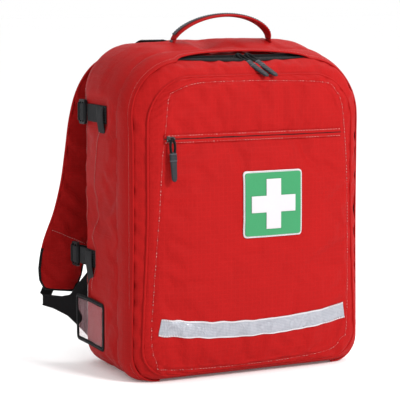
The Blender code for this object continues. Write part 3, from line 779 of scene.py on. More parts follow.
def back_fabric():
    """The flat back that the pads are sewn to."""
    w, bottom, top, rt, rb, _ = interpolated(SKIN, BACK_Y)
    rows = []
    for z in spaced(bottom, top, 0.009):
        half = half_width_at(z, w, bottom, top, rt, rb)
        row = []
        for u in (i / 20 - 1 for i in range(41)):
            wrinkle = 0.0008 * abs(noise.noise(Vector((u * 6, 0, z * 30))))
            row.append(Vector((half * u, BACK_Y - wrinkle, z)))
        rows.append(row)
    smoothed(thicken(surface("back_fabric", rows, "red_fabric", "bag", inside=INSIDE), 0.0014))


GAP_CENTRE = -0.0035  # of the gap over the top, where the flap is drawn back, in x
GAP_HALF_WIDTH = 0.112


def gap_share(point):
    """How far the flap is drawn back over the top: fully in the middle, nowhere on the sides."""
    off_centre = (point.x - GAP_CENTRE) / GAP_HALF_WIDTH
    return math.sqrt(max(0.0, 1 - off_centre ** 2)) if point.z > 0.3 else 0.0


FLAP_ROOT_Y = -0.041
FLAP_SHARES = (0.0, 0.05, 0.14, 0.28, 0.43, 0.58, 0.73, 0.86, 0.95, 1.0)  # of its width, from its root


def flap_point(i, share):
    """A point of the flap at a place round the bag, this share of the way from its root to its edge."""
    on_zip = skin_ring(ZIP_Y)[i]
    gap = gap_share(on_zip)
    edge_y = -0.084 + 0.006 * eased((on_zip.z - 0.36) / 0.1) + 0.0205 * gap
    puff = 0.0018 + 0.0036 * math.sin(math.pi * min(1.0, share * 1.05)) ** 0.8
    ripple = 0.0014 * share * (1 - share) * noise.noise(Vector((on_zip.x * 26, share, on_zip.z * 26)))
    rise = puff + ripple + (0.0004 + 0.007 * gap) * share
    point = skin_point(i, FLAP_ROOT_Y + (edge_y - FLAP_ROOT_Y) * share) + outward(i) * rise
    point.z = max(point.z, 0.002)
    return point


def storm_flap():
    """The strip that covers the main zip, from a seam on the bag's skin to a hemmed front edge."""
    rows = [[flap_point(i, share) for i in ARCH] for share in FLAP_SHARES]
    flap = surface("storm_flap", rows, "red_fabric", "bag", "rain_flap", inside=INSIDE)
    smoothed(thicken(flap, 0.0014))
    tree = tree_of(flap)
    stitches("flap_hem_stitches", rows[-3], tree, "bag")
    stitches("flap_root_stitches", rows[1], tree, "bag")
    tube("flap_hem", [p + FORWARD * 0.0003 for p in rows[-1]], 0.0014, "red_fabric", "bag")


BLOCK_CORNERS = [(x, y, z) for z in (-1, 1) for x, y in ((-1, -1), (1, -1), (1, 1), (-1, 1))]
BLOCK_FACES = ((0, 1, 2, 3), (4, 5, 6, 7), (0, 1, 5, 4), (1, 2, 6, 5), (2, 3, 7, 6), (3, 0, 4, 7))


def tooth_row(name, shift, depth, body):
    """Moulded teeth along the main zip, each a small block across the tape."""
    pitch, half = 0.0032, Vector((0.0007, 0.002, 0.0009))
    route = [skin_point(i, ZIP_Y, -0.002) for i in ARCH]
    points, faces = [], []
    for middle, along in evenly(route, pitch):
        out = Vector((along.z, 0, -along.x))
        centre = middle + along * shift + Vector((0, depth, 0))
        start = len(points)
        for sx, sy, sz in BLOCK_CORNERS:
            across = Vector((0, half.y * sy, 0))
            points.append(centre + along * (half.x * sx) + across + out * (half.z * sz))
        faces += [tuple(start + i for i in face) for face in BLOCK_FACES]
    return piece(name, points, faces, "zip_teeth", body, sharp_degrees=30)


REAR_TAPE = ((-0.05, 0.0), (-0.0545, 0.8), (-0.058, 1.0), (-0.0598, 0.9), (-0.0612, 0.0))  # y, raised
TAPE_START_Y = -0.0628


def front_tape_point(i, share):
    """A point of the front tape, which is wider and stands up where the flap is drawn back."""
    gap = gap_share(skin_ring(ZIP_Y)[i])
    y = TAPE_START_Y + (-0.068 - 0.0125 * gap - TAPE_START_Y) * share
    raised = 0.001 + 0.0034 * eased((TAPE_START_Y - y) / 0.004)
    return skin_point(i, y, -0.003 + eased(3 * gap) * raised)


def main_zip():
    """Both halves of the main zip, whose tapes show where the flap is drawn back."""
    shown = [eased(3 * gap_share(point)) for point in skin_ring(ZIP_Y)]
    rear = [[skin_point(i, y, -0.002 + 0.0042 * raised * shown[i]) for i in ARCH] for y, raised in REAR_TAPE]
    front = [[front_tape_point(i, share) for i in ARCH] for share in (0.0, 0.25, 0.5, 0.75, 1.0)]
    for name, rows, body, node in (("main_zip_tape_bag", rear, "bag", "main_zip_tape_rear"),
                                   ("main_zip_tape_lid", front, "lid", "main_zip_tape_front")):
        thicken(surface(name, rows, "black_webbing", body, node), 0.0008)
    tooth_row("zip_teeth_bag", 0.0008, 0.0014, "bag")
    tooth_row("zip_teeth_lid", -0.0008, -0.0014, "lid")


def hinge_fabric():
    """The uncut fabric along the bottom, between the two ends of the zip: a strip on no body, which stays
    where it is as the lid opens.
    """
    height, width, overlap = 0.0033, 0.3, 0.005
    route = [Vector((0, y, height)) for y in spaced(RIM_Y + overlap, LID_RIM_Y - overlap, 0.001)]
    strip = band("hinge_fabric", route, width, 0.001, RIGHT, "red_fabric", None)
    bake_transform(strip)


# Lid and front panel ----------------------------------------

PANEL_COLUMNS = 84
PANEL_ROWS = 110
POCKET_ZIP_Z = joint_pivot("pocket_puller_swing").z
FRAME_STITCHING = [  # the row of stitches round the front, in x and z
    (0.0, 0.4455), (-0.09, 0.444), (-0.128, 0.434), (-0.142, 0.42), (-0.148, 0.361),
    (-0.152, 0.3335), (-0.157, 0.25), (-0.163, 0.172), (-0.169, 0.069), (-0.161, 0.033),
    (-0.145, 0.021), (-0.022, 0.017), (0.118, 0.023), (0.153, 0.042), (0.164, 0.069),
    (0.164, 0.257), (0.154, 0.39), (0.14, 0.428), (0.113, 0.441), (0.0, 0.4455),
]


def lid_side():
    """The lid's edge between the main zip and the welt round its front."""
    rows = [skin_ring(round(y, 4)) for y in spaced(LID_RIM_Y, SEAM_Y, 0.0045)]
    side = surface("lid_side", rows, "red_fabric", "lid", wrap=True, inside=INSIDE)
    last_row = (len(rows) - 1) * AROUND
    sewn = [i for i, v in enumerate(side.data.vertices)
            if i < AROUND or i >= last_row or v.co.z < 0.01 or v.co.y > COVERED_Y]
    settle(side, sewn, 0.035, 1.4, 0.002, bending=1.0)
    smoothed(thicken(side, 0.0014))
    welt = [p + FORWARD * 0.0008 for p in skin_ring(SEAM_Y, 0.0008)]
    tube("front_welt", welt, 0.0019, "red_fabric", "lid", closed=True)


def inside_front(x, z):
    """(distance from the welt, distance from the left welt) of a point on the front."""
    w, bottom, top, rt, rb, _ = interpolated(SKIN, SEAM_Y)
    half = half_width_at(z, w, bottom, top, rt, rb) * flare(SEAM_Y, z)
    return max(0.0, min(half - abs(x), z - bottom, top - z)), max(0.0, half + x)


def hump(distance, width):
    """1 at no distance, falling away smoothly over about this width."""
    return math.exp(-((distance / width) ** 2))


def panel_y(x, z):
    """The front's shape: it rises quickly from the welt to a broad low crown.

    A valley runs along the pocket's zip, and the cloth is gathered along the left welt."""
    edge, left = inside_front(x, z)
    rise = 0.0085 * (1 - math.exp(-edge / 0.012))
    crown = max(0.0, 1 - (x / 0.175) ** 2) * max(0.0, 1 - ((z - 0.215) / 0.27) ** 2)
    valley = 1 - 0.85 * hump(z - POCKET_ZIP_Z, 0.02)
    gathers = hump(left - 0.012, 0.01) * math.sin(math.tau * (z - 0.7 * left) / 0.0135 + 9 * z)
    return SEAM_Y - rise - 0.0095 * crown * valley - 0.0021 * gathers


def front_panel():
    """The whole front: the pocket's outer layer and the panel above it, swelling out between the welts."""
    w, bottom, top, rt, rb, _ = interpolated(SKIN, SEAM_Y)
    rows = []
    for t in (r / (PANEL_ROWS - 1) for r in range(PANEL_ROWS)):
        z = bottom + (top - bottom) * (t - 0.08 * math.sin(math.tau * t))
        half = half_width_at(z, w, bottom, top, rt, rb) * flare(SEAM_Y, z)
        row = []
        for u in (2 * c / (PANEL_COLUMNS - 1) - 1 for c in range(PANEL_COLUMNS)):
            x = half * (0.7 * u + 0.3 * math.sin(u * math.pi / 2))
            row.append(Vector((x, panel_y(x, z), z)))
        rows.append(row)
    panel = surface("front_panel", rows, "red_fabric", "lid", ("front_pocket", "front_yoke"), inside=INSIDE)
    settle(panel, sewn_down(panel), 0.02, 0.8, 0.0045, bending=1.6)
    return smoothed(thicken(panel, 0.0014))


def sewn_down(panel):
    """The front's points on its edge, on its row of stitches, which it draws in a little, and at its zip."""
    line = BVHTree.FromPolygons(*ribbon_mesh([Vector((x, 0, z)) for x, z in FRAME_STITCHING]))
    sewn = []
    for i, vertex in enumerate(panel.data.vertices):
        r, c = divmod(i, PANEL_COLUMNS)
        on_edge = r in (0, PANEL_ROWS - 1) or c in (0, PANEL_COLUMNS - 1)
        on_line = line.find_nearest(Vector((vertex.co.x, 0, vertex.co.z)))[3] < 0.0026
        if on_edge or on_line or abs(vertex.co.z - POCKET_ZIP_Z) < 0.0045:
            sewn.append(i)
        if on_line and not on_edge:
            vertex.co.y += 0.001
    return sewn


def ribbon_mesh(route):
    """Points and faces of a narrow upright ribbon along a flat route, to measure distances from it."""
    points = [p + FORWARD * d for p in route for d in (-0.0001, 0.0001)]
    return points, [(2 * i, 2 * i + 1, 2 * i + 3, 2 * i + 2) for i in range(len(route) - 1)]


def lid_lining():
    """The inner layer of the lid, behind the front pocket, with a welt of its own."""
    edge_y, centre = -0.0925, Vector((0, -0.0905, 0.24))
    edge = [Vector((p.x, edge_y, p.z)) for p in skin_ring(edge_y, -0.0066)]
    rows = [[centre.lerp(p, share) for p in edge] for share in (1.0, 0.96, 0.85, 0.7, 0.5, 0.3, 0.1)]
    lining = surface("lid_lining", rows, "pouch_fabric", "lid", "lid_shell", wrap=True, caps=(-1,))
    thicken(lining, 0.0012)
    welt = [p - FORWARD * 0.0008 for p in edge]
    tube("lining_welt", welt, 0.0015, "black_webbing", "lid", closed=True)


def draped(name, us, vs, place, tree, thickness, lift, finish, body, stands_for=(), kept=None, stiffness=0):
    """A thin sheet that lies on the front, on a grid of (u, v), with the cells that are kept.

    The stiffer it is, the less it follows the creases below it."""
    columns = len(us)
    points = [laid_on(tree, place(u, v), -FORWARD, lift) for v in vs for u in us]
    floor = [p.y for p in points]
    for _ in range(stiffness):
        before = [p.y for p in points]
        for r in range(1, len(vs) - 1):
            for c in range(1, columns - 1):
                i = r * columns + c
                around = before[i - 1] + before[i + 1] + before[i - columns] + before[i + columns]
                points[i].y = min(floor[i], around / 4)
    faces = []
    for i, face in enumerate(grid_faces(len(vs), columns)):
        r, c = divmod(i, columns - 1)
        if kept is None or kept((us[c] + us[c + 1]) / 2, (vs[r] + vs[r + 1]) / 2):
            faces.append(face)
    used = sorted({i for face in faces for i in face})
    order = {old: new for new, old in enumerate(used)}
    obj = piece(name, [points[i] for i in used], [tuple(order[i] for i in f) for f in faces], finish, body,
                stands_for, inside=INSIDE)
    thicken(obj, thickness)
    return rounded(obj, thickness * 0.3)


def square_place(centre, half, corner):
    """Where (u, v) from -1 to 1 falls on a square with rounded corners."""
    def place(u, v):
        over = max(0.0, abs(v) * half - (half - corner))
        width = half - corner + math.sqrt(max(0.0, corner ** 2 - over ** 2))
        return Vector((centre.x + u * width, SEAM_Y, centre.z + v * half))
    return place


def badge_cross(centre, tree):
    low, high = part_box("badge_cross")
    arm = (high.z - low.z) / 2
    wide = arm / 3
    lines = {wide * k / 4 for k in range(-4, 5)}
    lines |= {s * (wide + (arm - wide) * k / 6) for s in (-1, 1) for k in range(7)}
    lines = sorted(lines)
    draped("badge_cross_moulding", lines, lines, lambda u, v: Vector((centre.x + u, SEAM_Y, centre.z + v)),
           tree, 0.001, 0.0006, "badge_white", "lid", "badge_cross",
           kept=lambda u, v: abs(u) < wide or abs(v) < wide)


def badge(panel_tree):
    """A moulded badge: a white backing, a green field and a raised white cross, sewn on round its rim."""
    low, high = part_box("badge_backing")
    centre, half = (low + high) / 2, (high.x - low.x) / 2
    even = [i / 16 - 1 for i in range(33)]
    ends = [-1, -0.985, -0.96, -0.93]  # closer together, for the rounded corners
    dense_ends = ends + [i / 14 - 0.9285 for i in range(1, 26)] + [-v for v in reversed(ends)]
    backing = draped("badge_backing_moulding", even, dense_ends, square_place(centre, half, 0.006),
                     panel_tree, 0.0016, 0.0011, "badge_white", "lid", "badge_backing", stiffness=60)
    field = draped("badge_field_moulding", even, dense_ends, square_place(centre, half - 0.0026, 0.004),
                   tree_of(backing), 0.0007, 0.0005, "badge_green", "lid", "badge_field")
    badge_cross(centre, tree_of(field))
    rim = square_place(centre, half - 0.0013, 0.005)
    around = [(t, -1) for t in even] + [(1, t) for t in even]
    around += [(-u, -v) for u, v in around]
    edge = [laid_on(panel_tree, rim(u, v), -FORWARD, 0.0022) for u, v in around]
    stitches("badge_stitches", edge, tree_of(backing), "lid", "reflective_edge", 0.0032, 0.0021, 0.0006)


def reflective_band(panel_tree):
    """The silver strip low on the front, sagging in its middle, with a stitched white edge on both sides."""
    reach, middle, sag, half = 0.1575, 0.0865, 0.0115, 0.0125

    def place(u, v):
        slant = 0.002 * v if u > 0 else -0.002 * v
        wrinkle = 0.0008 * noise.noise(Vector((u * 9, v, 3.0))) * (1.5 - u)
        return Vector((u * reach - slant, SEAM_Y, middle - sag * (1 - u * u) + v * half + wrinkle))

    us = [i / 40 - 1 for i in range(81)]
    vs = [i / 4 - 1 for i in range(9)]
    strip = draped("reflective_tape", us, vs, place, panel_tree, 0.0006, 0.0006, "reflective", "lid",
                   "reflective_strip", stiffness=2)
    tree = tree_of(strip)
    for name, v in (("lower", -0.9), ("upper", 0.9)):
        edge = draped(f"reflective_edge_{name}", us, [v - 0.08, v + 0.08], place, tree, 0.0006, 0.0004,
                      "reflective_edge", "lid")
        line = [place(u, v) + FORWARD * 0.016 for u in us]
        stitches(f"reflective_stitches_{name}", line, tree_of(edge), "lid", "thread", 0.004, 0.0025, 0.0006)


def pocket_zip(tree):
    """The pocket's zip: a coil in a narrow slot between two folded lips of the front's fabric."""
    low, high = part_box("pocket_zip_coil")
    xs = spaced(low.x, high.x, 0.004)
    middle = POCKET_ZIP_Z - 0.0003

    def line(offset, lift):
        return [on_front(tree, x, middle + offset, lift) for x in xs]

    band("pocket_zip_tape", line(0.0, 0.0002), 0.0066, 0.0012, UP, "black_webbing", "lid", "pocket_zip_coil")
    coil = []
    count = len(xs) * 12
    for i in range(count):
        turn = i * math.tau / 4
        base = on_front(tree, low.x + (high.x - low.x) * i / count, middle, 0.0012)
        coil.append(base + Vector((0, 0.0005 * math.cos(turn), 0.0011 * math.sin(turn))))
    tube("pocket_zip_spiral", coil, 0.00028, "zip_teeth", "lid")
    for name, offset, stitched in (("upper", 0.0035, 0.0014), ("lower", -0.0037, -0.0014)):
        lip = band(f"pocket_zip_lip_{name}", line(offset, 0.0011), 0.0062, 0.0013, UP, "red_fabric", "lid",
                   crown=0.0003)
        stitches(f"pocket_zip_stitches_{name}", line(offset + stitched, 0.002), tree_of(lip), "lid")


def build_front():
    lid_side()
    panel = front_panel()
    lid_lining()
    tree = tree_of(panel)
    route = smooth_route([(x, 0, z) for x, z in FRAME_STITCHING], 10)
    stitches("frame_stitches", [on_front(tree, p.x, p.z) for p in route], tree, "lid")
    badge(tree)
    reflective_band(tree)
    pocket_zip(tree)


# Sliders and pullers ----------------------------------------


def zip_slider(name, node, body, along, out):
    """A moulded slider: two plates with a waist, and a bridge over the upper one for its puller's cord."""
    low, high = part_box(node)
    centre = (low + high) / 2
    length = (high.x - low.x) / 2
    side = out.cross(along)
    half = max(abs((high - low).dot(side)) / 2, 0.0034)
    to_plate = out * (abs((high - low).dot(out)) / 2 - 0.0008)
    nose = arc((0.45 * length, 0), 0.72 * half, -75, 75, 6)
    outline = [(-length, -half), (-0.2 * length, -0.72 * half), *nose,
               (-0.2 * length, 0.72 * half), (-length, half)]
    for suffix, sign, stands_for in (("", 1, node), ("_under", -1, ())):
        place = flat_place(centre + to_plate * sign, along, side)
        plate(name + suffix, [outline], 0.0016, place, "slider_metal", body, stands_for, 0.0005)
    bridge = [centre + to_plate + along * (0.62 * length * math.cos(a)) + out * (0.0006 + 0.003 * math.sin(a))
              for a in (math.pi * k / 10 for k in range(11))]
    band(name + "_bridge", bridge, 0.0026, 0.001, side, "slider_metal", body, columns=4)


CORD_SIDE = [(0.022, 0.002), (0.016, 0.0034), (0.008, 0.0036), (0.002, 0.0022)]  # along, across, of its loop
GRIP = [  # along the puller: half width, half thickness
    (0.019, 0.0034, 0.0013), (0.0202, 0.0046, 0.0018), (0.023, 0.0056, 0.0021),
    (0.03, 0.0056, 0.0021), (0.035, 0.005, 0.0017), (0.047, 0.0046, 0.0016),
    (0.057, 0.0043, 0.0015), (0.0606, 0.0032, 0.0012), (0.062, 0.0014, 0.0006),
]
CLAMPS = (("upper", 0.0216, 0.0055), ("lower", 0.0316, 0.0057))  # along the puller: half width


def puller(name, node, body, pivot, along, across):
    """A loop of black cord, two light clamps and a tapered rubber grip, all hanging from a slider."""
    out = along.cross(across)
    loop = [(u, -v) for u, v in CORD_SIDE] + [(-0.0006, 0.0)] + CORD_SIDE[::-1]
    loop = smooth_route([pivot + along * u + across * v for u, v in loop], 4)
    tube(name + "_cord", loop, 0.002, "black_webbing", body)
    rows = []
    for u in spaced(GRIP[0][0], GRIP[-1][0], 0.0011):
        half, thick = interpolated(GRIP, u)
        if 0.037 < u < 0.058:
            thick += 0.00025 * (0.5 + 0.5 * math.cos(math.tau * u / 0.0034))
        rows.append(squarish_ring(pivot + along * u, across * half, out * thick, 4, 20))
    solid(name, rows, "puller_rubber", body, node)
    for end, u, half in CLAMPS:
        route = [pivot + along * u + across * (half * math.cos(a)) + out * (0.0023 * math.sin(a))
                 for a in (math.tau * k / 24 for k in range(24))]
        tube(f"{name}_clamp_{end}", route, 0.00055, "puller_clamp", body, closed=True)


def sliders_and_pullers():
    droop, lean = math.radians(34), math.radians(26)
    down = Vector((0, -math.cos(droop), -math.sin(droop)))
    along = down * math.cos(lean) + RIGHT * math.sin(lean)
    across = RIGHT * math.cos(lean) - down * math.sin(lean)
    for side, sign in SIDES.items():
        zip_slider(f"main_slider_{side}_body", f"main_zip_slider_{side}", f"main_slider_{side}",
                   RIGHT * sign, UP)
        puller(f"main_puller_{side}_grip", f"main_zip_puller_{side}", f"main_puller_{side}",
               joint_pivot(f"main_puller_{side}_swing"), along, across)
    zip_slider("pocket_slider_body", "pocket_zip_slider", "pocket_slider", RIGHT, FORWARD)
    lean = math.radians(7)
    puller("pocket_puller_grip", "pocket_zip_puller", "pocket_puller", joint_pivot("pocket_puller_swing"),
           FORWARD * math.sin(lean) - UP * math.cos(lean), RIGHT)


# Handle ----------------------------------------

HANDLE_HALF_SPAN = 0.082
HANDLE_RISE = 0.0365
HANDLE_LEAN = 0.009  # its soft loop flops this far to the wearer's right
HANDLE_WIDTH = 0.025
HANDLE_THICKNESS = 0.0036


def handle_route(offset, start_degrees=0.0):
    base = joint_pivot("handle_fold")
    route = []
    for i in range(61):
        angle = math.radians(start_degrees + (180 - 2 * start_degrees) * i / 60)
        x = HANDLE_LEAN * math.sin(angle) - (HANDLE_HALF_SPAN + offset) * math.cos(angle)
        route.append(Vector((x, base.y, base.z + HANDLE_RISE * math.sin(angle) ** 1.2 + offset)))
    return route


def top_handle(skin_tree):
    """A padded loop with a webbing stripe along its outside, and a root under each foot."""
    base = joint_pivot("handle_fold")
    route = handle_route(0.0)
    widths = [HANDLE_WIDTH * min(1.0, 0.64 + 0.36 * (p.z - base.z) / 0.017) for p in route]
    smoothed(band("handle_padding", route, widths, HANDLE_THICKNESS - 0.0004, ACROSS, "red_padding",
                  "handle", "top_handle", columns=14, crown=0.0007))
    route = handle_route(HANDLE_THICKNESS / 2 + 0.0009, 12.0)
    stripe = band("handle_stripe", route, 0.0095, 0.0012, ACROSS, "stripe_webbing", "handle",
                  "handle_webbing")
    tree = tree_of(stripe)
    middle = Vector((0, base.y, base.z))
    for name, y in (("front", -0.0036), ("rear", 0.0036)):
        line = [p + ACROSS * y + (p - middle).normalized() * 0.0008 for p in route]
        stitches(f"handle_stitches_{name}", line, tree, "handle", "dark_thread", 0.0042, 0.0026, 0.0007)
    for side, sign in SIDES.items():
        handle_root(side, Vector((sign * HANDLE_HALF_SPAN, base.y, base.z)), sign, skin_tree)


def handle_root(side, place, sign, skin_tree):
    """The short piece from a foot of the handle down into the bag, on no body, so it stays where it is as the
    handle folds.
    """
    foot = laid_on(skin_tree, place, -UP)
    top = place - UP * 0.0004
    route = [top, top.lerp(foot, 0.5) + RIGHT * sign * 0.0006, foot + Vector((sign * 0.0016, 0, -0.002))]
    outer = [p + RIGHT * sign * 0.0026 for p in route]
    for name, points, width, thickness, finish in (
            ("handle_root", route, 0.0165, 0.004, "red_padding"),
            ("handle_root_stripe", outer, 0.009, 0.0012, "stripe_webbing")):
        root = band(f"{name}_{side}", smooth_route(points, 4), width, thickness, ACROSS, finish, None)
        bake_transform(root)


# Side straps and card pocket ----------------------------------------

SIDE_X = 0.1963  # middle of the webbing that lies on each side
COMPRESSION_WIDTH = 0.028
BACK_SEAM = (0.1865, 0.0975)  # where straps are sewn to the back's edge, in x and y


def compression_strap(side, height):
    """A sewn loop, and webbing with its end sewn down in front, folded back and hanging as a tail."""
    sign, name = SIDES[side], f"{height}_{side}"
    pivot = joint_pivot(f"side_buckle_{name}_swing")
    front = COMPRESSION_FRONTS[height]

    def at(out, y, rise=0.0):
        return Vector((sign * (SIDE_X + out), y, pivot.z + rise))

    seam = Vector((sign * BACK_SEAM[0], BACK_SEAM[1], pivot.z))
    bearing = math.degrees(math.atan2(seam.y - pivot.y, seam.x - pivot.x))
    turn = arc(pivot.xy, 0.0041, bearing + sign * -35, bearing + sign * -325, 16)
    band(f"anchor_loop_{name}", [seam] + [Vector((x, y, pivot.z)) for x, y in turn],
         COMPRESSION_WIDTH - 0.001, 0.0012, UP, "black_webbing", "bag", f"compression_anchor_{name}")
    lower = [at(0, pivot.y - 0.03), at(0, pivot.y - 0.045), at(0, front + 0.03), at(0, front + 0.002)]
    over = [at(0.0016, pivot.y - 0.0245), at(0.0018, pivot.y - 0.034),
            at(0.0017, front + 0.032), at(0.002, front + 0.018)]
    tail = [at(0.0042, front + 0.017, 0.012), at(0.005, front + 0.016, 0.0),
            at(0.0044, front + 0.015, -0.014), at(0.0032, front + 0.013, -0.027),
            at(0.0028, front + 0.011, -0.038)]
    lengths = []
    for kind, route, width, across, node in (
            ("compression_strap", lower, COMPRESSION_WIDTH - 0.001, UP, f"compression_webbing_{name}"),
            ("compression_end", over, COMPRESSION_WIDTH - 0.002, UP, ()),
            ("strap_tail", tail, 0.0245, Vector((0, 1, 0.12)), ())):
        lengths.append(band(f"{kind}_{name}", smooth_route(route, 6), width, 0.0015, across, "grey_webbing",
                            "bag", node))
    sewn_square = [at(0.002, front + y, z) for y, z in (
        (0.004, 0.011), (0.004, -0.011), (0.01, -0.011), (0.01, 0.011), (0.004, 0.011))]
    stitches(f"strap_end_stitches_{name}", sewn_square, tree_of(lengths[0]), "bag", "dark_thread",
             0.0038, 0.0024, 0.0007)


BUCKLE_ROUTE = [  # out from the side and along it, from the buckle's pivot
    (-0.0012, -0.0046), (0.0018, -0.0042), (0.0062, -0.0054), (0.007, -0.0095),
    (0.0068, -0.014), (0.007, -0.019), (0.006, -0.0224), (0.0036, -0.0236),
]


def loop_over_bar(side, height):
    """The webbing where it comes up through a buckle, over its middle bar and its front bar."""
    name = f"{height}_{side}"
    pivot = joint_pivot(f"side_buckle_{name}_swing")
    route = [Vector((SIDES[side] * (SIDE_X + out), pivot.y + y, pivot.z)) for out, y in BUCKLE_ROUTE]
    band(f"buckle_webbing_{name}", smooth_route(route, 5), 0.0262, 0.0015, UP, "grey_webbing",
         f"side_buckle_{name}")


CARD_LENGTH = 0.047  # half the card pocket's length along X of its own plane
CARD_HEIGHT = 0.037  # half its height
CARD_BINDING = 0.0068  # width of the tape round it
NOTCH_RADIUS = 0.01


def askew(place, x, y, rise=0.0):
    """A point of the card pocket, which has slipped down along its hinge and is bowed by use."""
    slip = 0.005 * (1 - x / (2 * CARD_LENGTH)) ** 2
    bow = 0.0011 * math.sin(math.tau * x / (2.2 * CARD_LENGTH)) * (y / CARD_HEIGHT)
    return place @ Vector((x, y - slip, rise + bow))


def card_binding(place, middle):
    """The tape folded round the pocket's edge, along the middle of its width."""
    rows = []
    for i, point in enumerate(middle):
        before, after = middle[i - 1], middle[(i + 1) % len(middle)]
        away = Vector((after.y - before.y, before.x - after.x)).normalized()
        ring = []
        for k in range(12):
            across, through = math.cos(math.tau * k / 12), math.sin(math.tau * k / 12)
            spread = math.copysign(abs(across) ** 0.6, across) * CARD_BINDING / 2
            ring.append(askew(place, point.x + away.x * spread, point.y + away.y * spread, 0.0013 * through))
        rows.append(ring)
    return surface("card_pocket_binding", [*rows, rows[0]], "black_webbing", "card_pocket",
                   "id_pocket_frame", wrap=True)


def card_window(place):
    """The clear sheet, a little swollen and creased, with a thumb notch in its open edge."""
    columns, rows = 28, 22
    points = []
    for v in (r / (rows - 1) for r in range(rows)):
        for u in (c / (columns - 1) for c in range(columns)):
            x = CARD_BINDING * 0.6 + (2 * CARD_LENGTH - 1.2 * CARD_BINDING) * u
            y = (CARD_HEIGHT - 0.6 * CARD_BINDING) * (2 * v - 1)
            swell = 0.0016 * math.sin(math.pi * u) * math.sin(math.pi * v)
            points.append(askew(place, x, y, swell * (1 + 0.5 * hump(u - 0.45 - 0.1 * v, 0.06))))
    kept = []
    for face in grid_faces(rows, columns):
        at = place.inverted() @ (sum((points[i] for i in face), Vector()) / 4)
        if math.hypot(at.x - 2 * CARD_LENGTH + CARD_BINDING, at.y) > NOTCH_RADIUS:
            kept.append(face)
    window = piece("card_pocket_window", points, kept, "clear_vinyl", "card_pocket", "id_pocket_window")
    smoothed(thicken(window, 0.0005))


def card_pocket():
    """A clear pocket for a card, bound in black tape."""
    slant = math.radians(4)
    place = flat_place(joint_pivot("card_pocket_swing"), (-math.sin(slant), math.cos(slant), 0), UP)
    corners = rounded_rectangle(CARD_LENGTH - CARD_BINDING / 2, CARD_HEIGHT - CARD_BINDING / 2, 0.004, 5,
                                (CARD_LENGTH, 0))
    corners = [Vector(p) for p in corners]
    middle = [p for a, b in zip(corners, corners[1:] + corners[:1]) for p in (a, a.lerp(b, 0.5))]
    binding = card_binding(place, middle)
    card_window(place)
    out = place.to_3x3() @ UP
    out *= -math.copysign(0.003, out.x)
    edge = [askew(place, p.x, p.y) + out for p in [*middle, middle[0]]]
    stitches("card_pocket_stitches", edge, tree_of(binding), "card_pocket", "dark_thread",
             0.0036, 0.0023, 0.0006)


# Back ----------------------------------------


def puffed(node, name, finish, body, channels=()):
    """A padded piece made from its CAD solid: remeshed, blown up as cloth, and quilted along its channels."""
    obj = bpy.data.objects.new(name, frame["nodes"][node].data.copy())
    scene.collection.objects.link(obj)
    remesh = obj.modifiers.new("even_mesh", "REMESH")
    remesh.mode = "VOXEL"
    remesh.voxel_size = 0.005
    evaluated = obj.evaluated_get(bpy.context.evaluated_depsgraph_get())
    obj.data = bpy.data.meshes.new_from_object(evaluated)
    obj.modifiers.clear()
    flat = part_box(node)[0].y + 0.0015
    settle(obj, [i for i, v in enumerate(obj.data.vertices) if v.co.y < flat], 0.02, 4.0, 0.004)
    for vertex in obj.data.vertices:
        near = min([abs(vertex.co.z - z) for z in channels], default=1.0)
        if vertex.co.y > flat:
            vertex.co.y -= 0.45 * (vertex.co.y - flat) * hump(near, 0.006)
    obj.data.shade_smooth()
    smoothed(obj)
    finished(obj, finish, body, node)


def back_pads():
    low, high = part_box("back_pad")
    channels = [low.z + (high.z - low.z) * share for share in (0.25, 0.5, 0.75)]
    puffed("back_pad", "back_cushion", "black_mesh", "bag", channels)
    puffed("lumbar_pad", "lumbar_cushion", "black_mesh", "bag")
    for node in ("back_pad", "lumbar_pad"):
        low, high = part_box(node)
        middle, half = (low + high) / 2, (high - low) / 2
        outline = rounded_rectangle(half.x + 0.001, half.z + 0.001, 0.03, 8, (middle.x, middle.z))
        welt = [Vector((x, low.y + 0.0016, z)) for x, z in outline]
        tube(f"{node}_welt", welt, 0.0019, "black_webbing", "bag", closed=True)


SIDE_SEAMS = {  # y and z of the stitches that show down each side
    "side": [(0.012, 0.372), (0.034, 0.262), (0.045, 0.12)],
    "rear": [(0.085, 0.43), (0.085, 0.33), (0.085, 0.23), (0.085, 0.11)],
}


def back_edge(skin_tree):
    """The welt round the back's edge, and the seams down both sides."""
    welt = [p for p in skin_ring(0.0935, 0.0012) if p.z > 0.008]
    start = next(i for i, p in enumerate(welt) if p.x > 0)
    tube("back_welt", welt[start:] + welt[:start], 0.0018, "red_fabric", "bag")
    for side, sign in SIDES.items():
        for name, places in SIDE_SEAMS.items():
            route = smooth_route([(sign * 0.21, y, z) for y, z in places], 12)
            laid = [laid_on(skin_tree, p, RIGHT * -sign, 0.001) for p in route]
            stitches(f"{name}_seam_{side}", laid, skin_tree, "bag", "thread", 0.0034, 0.0028, 0.0008)


# Shoulder straps ----------------------------------------

